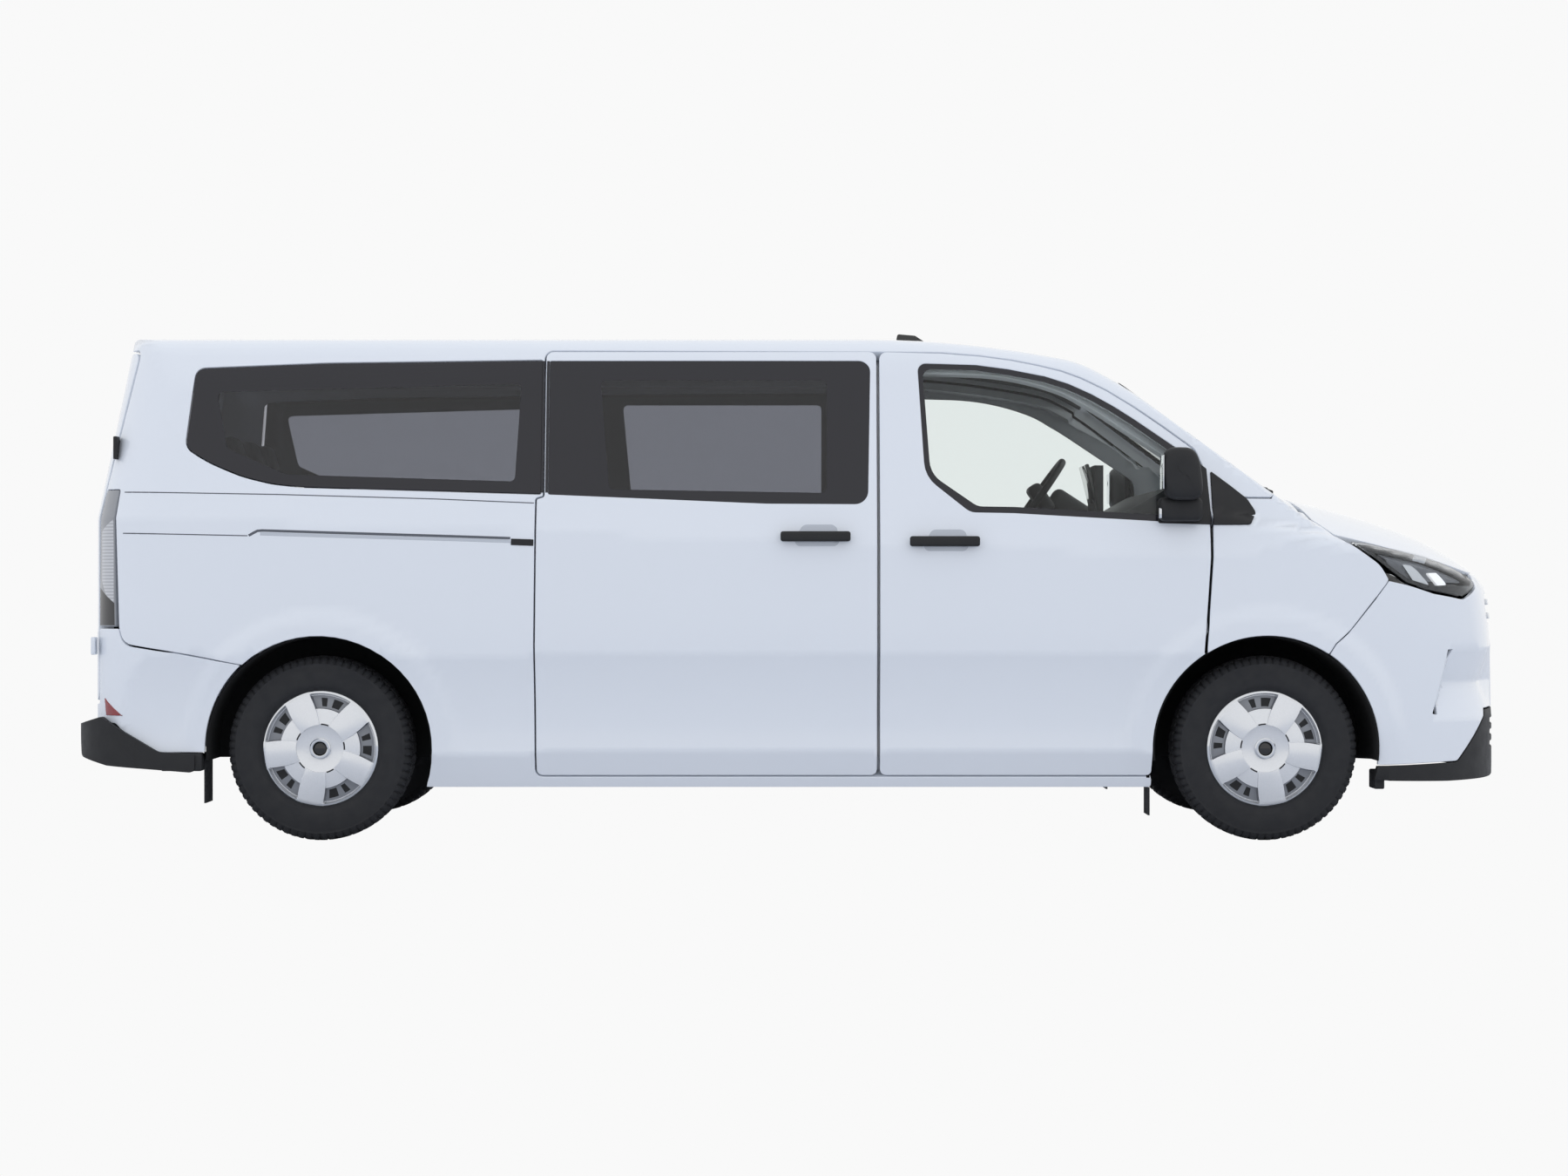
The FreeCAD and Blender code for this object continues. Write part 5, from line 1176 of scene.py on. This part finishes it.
for hand, side in HANDS:
    line = [(0.0, 0.517, 0.008), (0.0, 1.821, 0.008), (0.800, 1.821, 0.04), (0.865, 1.240, 0.3),
            (0.865, 0.517, 0.04)]
    pane = [(0.070, 1.330, 0.05), (0.070, 1.751, 0.05), (0.730, 1.751, 0.06), (0.780, 1.330, 0.07)]
    clear = [(0.105, 1.365, 0.03), (0.105, 1.716, 0.03), (0.695, 1.716, 0.04), (0.740, 1.365, 0.05)]
    line, pane, clear = ([(y * side, z, radius) for y, z, radius in part] for part in (line, pane, clear))
    door = panel("rear_door_skin_" + hand, "rear_door_" + hand, line, cabin, [WHITE, TRIM], from_behind,
                 holes=[pane], thick=0.055, hole_gap=-0.001)
    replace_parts(door, "rear_door_" + hand)
    glass = panel("rear_pane_" + hand, "rear_door_" + hand, pane, cabin, [FRIT, TINTED, TINTED], from_behind,
                  zones=[(clear, 1)], **PANE)
    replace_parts(glass, "rear_glass_" + hand)


# Wheels and tyres
def turned(name, body, profile, centre, material, count=144, ripple=None):
    """A shape turned about the wheel's axle from points (radius, across)."""
    x0, y0, z0 = centre
    verts = []
    for k in range(count):
        a = 2 * math.pi * k / count
        for index, (radius, across) in enumerate(profile):
            r = radius - (ripple(k, index) if ripple else 0)
            verts.append((x0 + r * math.cos(a), y0 + across, z0 + r * math.sin(a)))
    size = len(profile)
    starts = [(k * size + i, ((k + 1) % count) * size + i) for k in range(count) for i in range(size - 1)]
    return mesh_piece(name, body, verts, [(a, a + 1, b + 1, b) for a, b in starts], [material])


TREAD = [(0.330, 0.0935), (0.337, 0.084), (0.3405, 0.074), (0.3415, 0.060), (0.3345, 0.0585),
         (0.3345, 0.0495), (0.3420, 0.048), (0.3428, 0.026), (0.3355, 0.0245), (0.3355, 0.0155),
         (0.3430, 0.014)]
WALL = [(0.204, 0.080), (0.214, 0.084), (0.2205, 0.0885), (0.2245, 0.0965), (0.231, 0.1020),
        (0.242, 0.1055), (0.262, 0.1074), (0.285, 0.1068), (0.304, 0.1040), (0.312, 0.1022),
        (0.314, 0.1030), (0.321, 0.1000)]


def tyre(name, body, centre):
    """A radial tyre: its walls, four grooves round it and a notched shoulder."""
    half = WALL + TREAD
    profile = half + [(r, -y) for r, y in half[::-1]]
    shoulder = {i for i, (r, y) in enumerate(profile) if abs(y) > 0.055 and r > 0.318}
    blocks = {i for i, (r, y) in enumerate(profile) if abs(y) <= 0.0485 and r > 0.338}

    def ripple(k, index):
        if index in shoulder:
            return 0.008 if k % 4 == 0 else 0.0
        return 0.004 if index in blocks and k % 6 == 3 else 0.0

    return turned(name, body, profile, centre, RUBBER, count=288, ripple=ripple)


RING_RADIUS, DISH_RADIUS, SPOKE_RADIUS, VENT_RADIUS, LIP_RADIUS = 0.0385, 0.0875, 0.093, 0.149, 0.199


def cover_height(r, a):
    """How far a point of the wheel cover stands from its rim, at a radius and a place a between vents.

    a is 0 on a vent's middle line, 1 on its side and 2 midway between two vents.
    """
    spoke = 0.004 - 0.014 * max(0.0, (r - SPOKE_RADIUS) / 0.110) ** 1.5
    if r <= RING_RADIUS:
        return 0.001
    if r < DISH_RADIUS:
        return -0.011 + 0.010 * ((r - RING_RADIUS) / 0.048) ** 2
    if r > LIP_RADIUS:
        return -0.009 - 0.010 * ((r - LIP_RADIUS) / 0.022) ** 2
    if a >= 1:
        return spoke + 0.004 * (1 - (2 - a) ** 2)
    if r < VENT_RADIUS:
        return spoke - 0.0045 - 0.004 * (r - SPOKE_RADIUS) / 0.056
    return spoke - 0.030


def wheel_cover(name, body, centre, side, first):
    """A full-width cover with five drawn-in vents, each with a flat tongue and two windows. Black on the
    windows and on a slot round the dish paints their shade, and a darker silver paints the shade on the
    vents' floors.
    """
    x0, y0, z0 = centre
    vents, cap_radius = 5, 0.0265
    radii = [RING_RADIUS, 0.040, 0.055, 0.075, 0.0865, 0.088, 0.0935, 0.110, 0.130, 0.148, 0.1495, 0.156,
             0.166, 0.176, 0.188, 0.1975, LIP_RADIUS, 0.206, 0.214, 0.219, COVER_RADIUS]
    places = [-2, -1.75, -1.5, -1.25, -1.06, -1.0, -0.94, -0.75, -0.6, -0.42, -0.2, 0.0, 0.16, 0.34, 0.5,
              0.7, 0.94, 1.0, 1.06, 1.25, 1.5, 1.75]
    verts, marks = [], []
    columns = vents * len(places)
    for r in radii:
        reach = (r - SPOKE_RADIUS) / 0.105
        half = math.radians(12.5 + 9.5 * min(1.0, max(0.0, reach)))
        for vent in range(vents):
            for place in places:
                size = abs(place)
                turn = half * size if size <= 1 else half + (size - 1) * (math.radians(180 / vents) - half)
                angle = math.radians(first + 360 / vents * vent) + math.copysign(turn, place)
                high = cover_height(r, size if r <= 0.2 else 2)
                verts.append((x0 + r * math.cos(angle), y0 + side * high, z0 + r * math.sin(angle)))
    for i in range(len(radii) - 1):
        middle = (radii[i] + radii[i + 1]) / 2
        for k in range(columns):
            place = places[k % len(places)] + 0.01
            # Black on the vent windows and on the slot round the dish is painted shade: the cover is drawn
            # whole there.
            window = 0.157 < middle < 0.187 and (-0.75 <= place < -0.2 or 0.16 <= place < 0.5)
            slot = 0.088 < middle < 0.0935 and -0.75 <= place < 0.7
            # The vents' floors wear the darker silver: painted shade.
            recess = 0.1485 < middle < 0.198 and -1.0 <= place < 0.99
            bright = middle > 0.2065 or middle < 0.040
            marks.append(1 if window or slot else 2 if bright else 3 if recess else 0)
    finishes = [SILVER, BLACK, MIRROR, SILVER_SHADE]
    made = mesh_piece(name, body, verts, ring_faces(len(radii), columns), finishes, marks)
    cap = [(0.0005, -0.001), (0.012, -0.0015), (0.020, -0.003), (0.024, -0.006), (cap_radius, -0.010)]
    ring = [(cap_radius, -0.010), (cap_radius, 0.002), (0.029, 0.004), (0.035, 0.004), (RING_RADIUS, 0.001)]
    barrel = [(COVER_RADIUS, -0.021), (0.214, -0.026), (0.204, -0.020), (0.200, -0.060), (0.192, -0.075),
              (0.192, -0.150), (0.206, -0.186), (0.206, -0.190), (0.186, -0.150), (0.186, -0.075),
              (0.150, -0.050), (0.060, -0.045)]
    for part, profile, material, count in (("_cap", cap, GLOSS, 48), ("_ring", ring, MIRROR, 64),
                                           ("_barrel", barrel, STEEL, 72)):
        turned(name + part, body, [(r, side * y) for r, y in profile], centre, material, count)
    return made


tyre_half, cover_inset = 0.1075, 0.004
for end, axle_x, first in (("front", FRONT_AXLE_X, 26), ("rear", REAR_AXLE_X, 7)):
    for hand, side in HANDS:
        wheel = "wheel_%s_%s" % (end, hand)
        middle = TYRE_FACE_Y - tyre_half
        rubber = tyre("tyre_shape_%s_%s" % (end, hand), wheel, (axle_x, side * middle, HUB_Z))
        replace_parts(rubber, "tyre_%s_%s" % (end, hand))
        first_angle = first if side < 0 else 180 - first
        centre = (axle_x, side * (TYRE_FACE_Y - cover_inset), HUB_Z)
        cover = wheel_cover("cover_%s_%s" % (end, hand), wheel, centre, side, first_angle)
        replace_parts(cover, wheel)


# Handles, mirrors and other fittings
def block(name, body, low, high, radius, material, turn=None):
    """A box with rounded edges, which may be turned about its own middle by an angle and axis."""
    mesh = bpy.data.meshes.new(name)
    shape = bmesh.new()
    bmesh.ops.create_cube(shape, size=1.0)
    bmesh.ops.scale(shape, vec=[h - l for l, h in zip(low, high)], verts=shape.verts)
    bmesh.ops.bevel(shape, geom=shape.edges[:] + shape.verts[:], offset=radius, segments=4, affect="EDGES",
                    profile=0.5)
    if turn:
        matrix = Matrix.Rotation(math.radians(turn[0]), 3, turn[1])
        bmesh.ops.rotate(shape, cent=(0, 0, 0), matrix=matrix, verts=shape.verts)
    bmesh.ops.translate(shape, vec=[(l + h) / 2 for l, h in zip(low, high)], verts=shape.verts)
    shape.to_mesh(mesh)
    shape.free()
    mesh.materials.append(material)
    mesh.polygons.foreach_set("use_smooth", np.ones(len(mesh.polygons), bool))
    mesh.set_sharp_from_angle(angle=math.radians(50))
    return placed(name, mesh, body)


def side_block(name, body, side, low, high, *rest):
    """A block on one side of the vehicle, its y given outward from the middle."""
    y0, y1 = sorted((side * low[1], side * high[1]))
    return block(name, body, (low[0], y0, low[2]), (high[0], y1, high[2]), *rest)


def rod(name, points, radius, material, count=10):
    """A rod of round section along a line of points."""
    points = [Vector(p) for p in points]
    verts = []
    for i, p in enumerate(points):
        along = (points[min(i + 1, len(points) - 1)] - points[max(i - 1, 0)]).normalized()
        across = along.cross(Vector((0, 0, 1))).normalized()
        up = across.cross(along)
        for k in range(count):
            a = 2 * math.pi * k / count
            verts.append(tuple(p + (across * math.cos(a) + up * math.sin(a)) * radius))
    faces = ring_faces(len(points), count)
    faces += [tuple(range(count))[::-1], tuple(range(len(verts) - count, len(verts)))]
    return mesh_piece(name, "body", verts, faces, [material])


def over_glass(run, out):
    """Points over the windscreen along a run of places (down, across)."""
    lifted = np.array([math.sin(SCREEN_SLOPE), 0.0, math.cos(SCREEN_SLOPE)]) * out
    return [tuple(p + lifted) for p in on_screen(np.array(run, float))]


def door_handle(name, body, x, z, side):
    """A pull bar over a shallow dish in the door."""
    low, high = (x - 0.129, HALF_WIDTH + 0.016, z - 0.019), (x + 0.129, HALF_WIDTH + 0.036, z + 0.019)
    bar = side_block(name, body, side, low, high, 0.0095, BLACK)
    for k, foot in enumerate((x - 0.112, x + 0.088)):
        low, high = (foot, HALF_WIDTH - 0.012, z - 0.013), (foot + 0.024, HALF_WIDTH + 0.03, z + 0.013)
        side_block("%s_foot_%d" % (name, k), body, side, low, high, 0.004, BLACK)
    return bar


def handle_dish(x, z):
    """The outline of the dish behind a handle."""
    return from_side([(x - 0.090, z - 0.036, 0.020), (x + 0.090, z - 0.036, 0.020),
                      (x + 0.078, z + 0.044, 0.026), (x - 0.046, z + 0.044, 0.026)], cabin)


DISH_SHEET = {"thick": 0.001, "edge": 0.0006, "lip": 0.001, "gap": 0.0, "step": 0.02}
front_handle, sliding_handle = (0.502, 1.110), (0.026, 1.128)
for hand, side in HANDS:
    bar = door_handle("front_handle_" + hand, "front_door_" + hand, *front_handle, side)
    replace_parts(bar, "door_handle_" + hand)
# The dishes behind the handles are white darkened as painted shade.
both_panels("front_handle_dish", DOORS, handle_dish(*front_handle), cabin, [WHITE_SHADE], depth=-0.0008,
            **DISH_SHEET)
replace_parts(door_handle("sliding_handle", "body", *sliding_handle, -1), "sliding_door_handle")
panel("sliding_handle_dish", "body", handle_dish(*sliding_handle), cabin, [WHITE_SHADE], depth=-0.0012, **DISH_SHEET)

# The black corners of the front windows: behind the door gap on the door, ahead of it on the body
SAIL = {"thick": 0.01, "edge": 0.003, "gap": 0.0, "step": 0.02}
door_sail = side_curve([(1.380, 1.455, 0.01), (1.452, 1.402, 0.02), (1.4790, 1.380, 0.006),
                        (1.4895, 1.172, 0.003), (1.290, 1.177, 0.01), (1.290, 1.196, 0.01),
                        (1.372, 1.200, 0.02)], cabin)
body_sail = side_curve([(1.4925, 1.372, 0.004), (1.560, 1.322, 0.3), (1.628, 1.268, 0.05),
                        (1.662, 1.214, 0.022), (1.630, 1.171, 0.03), (1.4945, 1.170, 0.003)], whole)
both_panels("mirror_sail", DOORS, door_sail, cabin, [BLACK], depth=-0.005, **SAIL)
both_panels("front_sail", BODY, body_sail, whole, [BLACK], depth=-0.0065, **SAIL)


def mirror_head(name, body, side):
    """The housing: a rounded form, taller than it is deep, that closes towards its outer end."""
    stations = [(0.985, 0.10), (0.992, 0.45), (1.005, 0.70), (1.025, 0.88), (1.055, 0.99), (1.090, 1.0),
                (1.115, 0.96), (1.128, 0.88), (1.1345, 0.72), (1.137, 0.45), (1.1373, 0.0)]
    middle_x, middle_z, half_deep, half_high = 1.368, 1.357, 0.072, 0.097
    verts, count = [], 48
    for y, grow in stations:
        for k in range(count):
            a = 2 * math.pi * k / count
            c, d = math.cos(a), math.sin(a)
            u = math.copysign(abs(c) ** 0.55, c) * (1 - 0.10 * d)
            v = math.copysign(abs(d) ** 0.6, d)
            verts.append((middle_x + half_deep * grow * u - 0.008 * v, side * y,
                          middle_z + half_high * grow * v))
    faces = [face[::side] for face in ring_faces(len(stations), count)] + [tuple(range(count))[::-side]]
    return mesh_piece(name, body, verts, faces, [BLACK])


for hand, side in HANDS:
    head = mirror_head("mirror_housing_" + hand, "front_door_" + hand, side)
    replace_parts(head, "door_mirror_" + hand)

# Two wipers parked along the foot of the windscreen: foot, tip and pivot of each, in places (down, across)
WIPERS = (((0.335, -0.600), (0.315, 0.020), (0.362, -0.560)),
          ((0.335, 0.060), (0.310, 0.640), (0.362, 0.120)))
for index, (foot, tip, pivot) in enumerate(WIPERS):
    run = [(foot[0] + (tip[0] - foot[0]) * k / 10, foot[1] + (tip[1] - foot[1]) * k / 10) for k in range(11)]
    blade = rod("wiper_blade_%d" % index, over_glass(run, 0.009), 0.006, BLACK)
    rod("wiper_rubber_%d" % index, over_glass(run, 0.0045), 0.0035, FLAP)
    middle = run[6]
    elbow = ((pivot[0] + middle[0]) / 2 - 0.004, (pivot[1] + middle[1]) / 2)
    rod("wiper_arm_%d" % index, over_glass([pivot, elbow, middle], 0.015), 0.005, BLACK)
    centre = over_glass([pivot], 0.001)[0]
    block("wiper_pivot_%d" % index, "body", [c - 0.012 for c in centre], [c + 0.012 for c in centre], 0.005,
          BLACK)
    if index == 0:
        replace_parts(blade, "wipers")

# Fittings on both sides, with their y outward from the middle, and single ones at the back
SIDE_FITTINGS = (
    ("mirror_arm", "front_door_", (1.290, 0.93, 1.184), (1.450, 1.06, 1.272), 0.022, BLACK),
    ("mirror_glass", "front_door_", (1.2955, 1.015, 1.300), (1.2995, 1.126, 1.425), 0.0015, MIRROR),
    ("mirror_lens", "front_door_", (1.2865, 1.02, 1.194), (1.298, 1.0625, 1.232), 0.004, MIRROR),
    ("rear_hinge_upper", "body", (-2.583, 0.850, 1.417), (-2.567, 0.905, 1.502), 0.004, BLACK),
    ("rear_hinge_lower", "body", (-2.666, 0.850, 0.690), (-2.650, 0.905, 0.756), 0.004, WHITE),
    ("step_arm", "body", (-2.392, 0.925, 0.262), (-2.236, 1.000, 0.3285), 0.010, BLACK),
    ("deflector", "body", (2.100, 0.800, 0.192), (2.138, 0.925, 0.262), 0.006, BLACK),
)
for hand, side in HANDS:
    for name, body, *rest in SIDE_FITTINGS:
        side_block("%s_%s" % (name, hand), body if body == "body" else body + hand, side, *rest)
block("rear_handle", "rear_door_right", (-2.672, -0.165, 0.985), (-2.640, -0.045, 1.075), 0.012, BLACK)
block("plate_panel", "rear_door_left", (-2.676, 0.06, 0.655), (-2.650, 0.60, 0.790), 0.006, BLACK)
# The blank plate glows with the lamp's white: painted light, as the plate is no lamp.
block("blank_plate", "rear_door_left", (-2.680, 0.075, 0.668), (-2.674, 0.585, 0.778), 0.002, GLOWING_WHITE)
block("rear_header", "body", (-2.522, -0.700, 1.834), (-2.470, 0.700, 1.872), 0.004, WHITE)
block("high_stop_lamp", "body", (-2.545, -0.16, 1.832), (-2.500, 0.16, 1.848), 0.005, RED)


# The cabin
def cushion(name, middle, half, lean, channels=()):
    """A stuffed form: a block with full, rounded sides, drawn in along its sewn channels."""
    count, fullness = 18, 5.0
    grid = np.linspace(-1, 1, count)
    verts, faces, index = [], [], {}
    for axis in range(3):
        for way in (-1, 1):
            ids = {}
            for i, u in enumerate(grid):
                for j, v in enumerate(grid):
                    p = [0.0, 0.0, 0.0]
                    p[axis], p[(axis + 1) % 3], p[(axis + 2) % 3] = way, u, v
                    key = tuple(round(c, 5) for c in p)
                    if key not in index:
                        index[key] = len(verts)
                        verts.append(p)
                    ids[i, j] = index[key]
            for i in range(count - 1):
                for j in range(count - 1):
                    quad = (ids[i, j], ids[i + 1, j], ids[i + 1, j + 1], ids[i, j + 1])
                    faces.append(quad if way > 0 else quad[::-1])
    p = np.array(verts)
    p = np.sign(p) * np.abs(p) ** 0.85
    p = p / (np.abs(p) ** fullness).sum(1)[:, None] ** (1 / fullness)
    p[:, 0] *= 1 + 0.10 * (1 - p[:, 1] ** 2) * (1 - p[:, 2] ** 2)
    for axis, at in channels:
        p[:, 0] *= 1 - 0.10 * np.exp(-((p[:, axis] - at) / 0.05) ** 2)
    p = p * np.array(half)
    c, d = math.cos(lean), math.sin(lean)
    p = np.stack([p[:, 0] * c - p[:, 2] * d, p[:, 1], p[:, 0] * d + p[:, 2] * c], 1) + np.array(middle)
    made = mesh_piece(name, "body", p, faces, [CLOTH])
    return made


def seat(name, x, y, half_width, back):
    """A cushion, a leaning back and a head rest on two posts, over a plinth."""
    lean, back_z = math.radians(14), 0.765
    top = back_z + back
    lower = cushion(name + "_cushion", (x + 0.185, y, 0.735), (0.085, half_width, 0.255), math.radians(-84),
                    [(1, -0.55), (1, 0.55)])
    cushion(name + "_back", (x - 0.085, y, back_z + back / 2), (0.062, half_width, back / 2), lean,
            [(1, -0.6), (1, 0.6), (2, 0.35)])
    cushion(name + "_headrest", (x - 0.195, y, top + 0.105), (0.045, 0.125, 0.085), lean)
    for k in (-1, 1):
        block("%s_post_%d" % (name, k), "body", (x - 0.175, y + 0.06 * k - 0.006, top - 0.04),
              (x - 0.163, y + 0.06 * k + 0.006, top + 0.06), 0.005, STEEL, (-14, "Y"))
    half_plinth = half_width * 0.86
    block(name + "_plinth", "body", (x - 0.06, y - half_plinth, 0.481), (x + 0.36, y + half_plinth, 0.668),
          0.02, TRIM)
    return lower


for hand, y in (("driver", 0.43), ("passenger", -0.43)):
    front_seat = seat("front_seat_" + hand, 0.480, y, 0.25, 0.60)
    if hand == "driver":
        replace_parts(front_seat, "front_seats")
for row, x in (("middle", -0.70), ("back", -2.02)):
    for k in range(3):
        bench = seat("bench_%s_%d" % (row, k), x, 0.43 * (k - 1), 0.208, 0.56)
        if row == "middle" and k == 0:
            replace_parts(bench, "rear_benches")


def steering_rim(middle, lean):
    """A steering-wheel rim: a ring of round section, leaning back."""
    major, minor, around, across = 0.172, 0.013, 96, 14
    verts, faces = [], []
    c, d = math.cos(lean), math.sin(lean)
    for i in range(around):
        a = 2 * math.pi * i / around
        for j in range(across):
            b = 2 * math.pi * j / across
            r = major + minor * math.cos(b)
            u, v, w = r * math.cos(a), r * math.sin(a), minor * 1.15 * math.sin(b)
            verts.append((middle[0] + u * c - w * d, middle[1] + v, middle[2] + u * d + w * c))
            here, ahead, beside = i * across, (i + 1) % around * across, (j + 1) % across
            faces.append((here + j, ahead + j, ahead + beside, here + beside))
    return mesh_piece("steering_rim", "body", verts, faces, [LEATHER])


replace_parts(steering_rim((0.950, 0.430, 1.313), math.radians(55)), "steering_wheel")
block("steering_hub", "body", (0.930, 0.350, 1.238), (0.990, 0.510, 1.368), 0.02, TRIM, (-35, "Y"))
block("steering_spoke", "body", (0.945, 0.262, 1.300), (0.957, 0.598, 1.330), 0.005, TRIM, (-35, "Y"))
block("steering_column", "body", (0.98, 0.385, 1.195), (1.26, 0.475, 1.285), 0.03, TRIM, (33, "Y"))
block("centre_screen", "body", (1.118, -0.150, 1.215), (1.134, 0.150, 1.428), 0.006, GLOSS, (-14, "Y"))

# Other CAD nodes keep their shape and take a finish
FINISHES = {
    "floor_pan": TRIM, "bulkhead": TRIM, "dashboard": TRIM, "wheel_arch_liners": LINER, "rear_step": BLACK,
    "front_suspension": STEEL, "rear_suspension": STEEL, "knuckle_right": IRON, "knuckle_left": IRON,
    "engine": IRON, "mudflaps": FLAP, "exhaust": EXHAUST, "roof_antenna": GLOSS,
}
for node, finish in FINISHES.items():
    for place in frame["nodes"][node].material_slots:
        place.material = finish

# Camera, floor and light
FOCAL_LENGTH, SENSOR_WIDTH = 80.66, 36.0
CAMERA_PLACE = (-0.090, -13.957, 0.938)
BACKGROUND = "#F9F9F9"
FLOOR_HALF = 60

scene = bpy.context.scene
camera = bpy.data.cameras.new("camera")
camera.sensor_width = SENSOR_WIDTH
camera.lens = FOCAL_LENGTH
holder = bpy.data.objects.new("camera", camera)
holder.location = CAMERA_PLACE
holder.rotation_euler = (math.radians(90), 0, 0)
scene.collection.objects.link(holder)
scene.camera = holder


def any_ray(material, *kinds):
    """1 for rays of those kinds and 0 for others."""
    ray = add(material, "ShaderNodeLightPath").outputs
    hit = ray[kinds[0]]
    for kind in kinds[1:]:
        hit = add(material, "ShaderNodeMath", {0: hit, 1: ray[kind]}, operation="MAXIMUM").outputs[0]
    return hit


floor_mesh = bpy.data.meshes.new("floor")
floor_corners = [(-FLOOR_HALF, -FLOOR_HALF, 0), (FLOOR_HALF, -FLOOR_HALF, 0), (FLOOR_HALF, FLOOR_HALF, 0),
                 (-FLOOR_HALF, FLOOR_HALF, 0)]
floor_mesh.from_pydata(floor_corners, [], [(0, 1, 2, 3)])
floor = bpy.data.objects.new("floor", floor_mesh)
scene.collection.objects.link(floor)
studio_floor, floor_shader, _, floor_out = finish_of("studio_floor", "#CFD2D9", 0.9)
seen = add(studio_floor, "ShaderNodeEmission", {"Color": colour(BACKGROUND), "Strength": 1.0})
direct = any_ray(studio_floor, "Is Camera Ray", "Is Transmission Ray")
shown = add(studio_floor, "ShaderNodeMixShader", {0: direct, 1: floor_shader.outputs[0], 2: seen.outputs[0]})
studio_floor.node_tree.links.new(shown.outputs[0], floor_out.inputs["Surface"])
floor_mesh.materials.append(studio_floor)

# The sky turns from a near white at the horizon to a slightly greyer one overhead. The camera, rays through
# glass and reflections see the plain background.
world = bpy.data.worlds.new("studio")
scene.world = world
world.use_nodes = True
world.node_tree.nodes.clear()
direction = add(world, "ShaderNodeTexCoord").outputs["Generated"]
height = add(world, "ShaderNodeSeparateXYZ", {0: direction})
rise = add(world, "ShaderNodeMapRange", {"Value": height.outputs["Z"], "From Min": -0.1, "From Max": 0.9})
tone = add(world, "ShaderNodeMix", {"Factor": rise.outputs[0], "A": colour("#FAFCFF"),
                                    "B": colour("#ECEFF4")}, data_type="RGBA")
sky = add(world, "ShaderNodeBackground", {"Color": result(tone), "Strength": 1.12})
plain = add(world, "ShaderNodeBackground", {"Color": colour(BACKGROUND), "Strength": 1.0})
direct = any_ray(world, "Is Camera Ray", "Is Transmission Ray", "Is Glossy Ray")
shown = add(world, "ShaderNodeMixShader", {0: direct, 1: sky.outputs[0], 2: plain.outputs[0]})
add(world, "ShaderNodeOutputWorld", {"Surface": shown.outputs[0]})
scene.view_settings.view_transform = "Standard"

# The first finish each new piece wears
for piece in list(bpy.data.objects):
    if piece.type == "MESH" and piece not in frame["nodes"].values() and piece.material_slots:
        finish = piece.material_slots[0].material
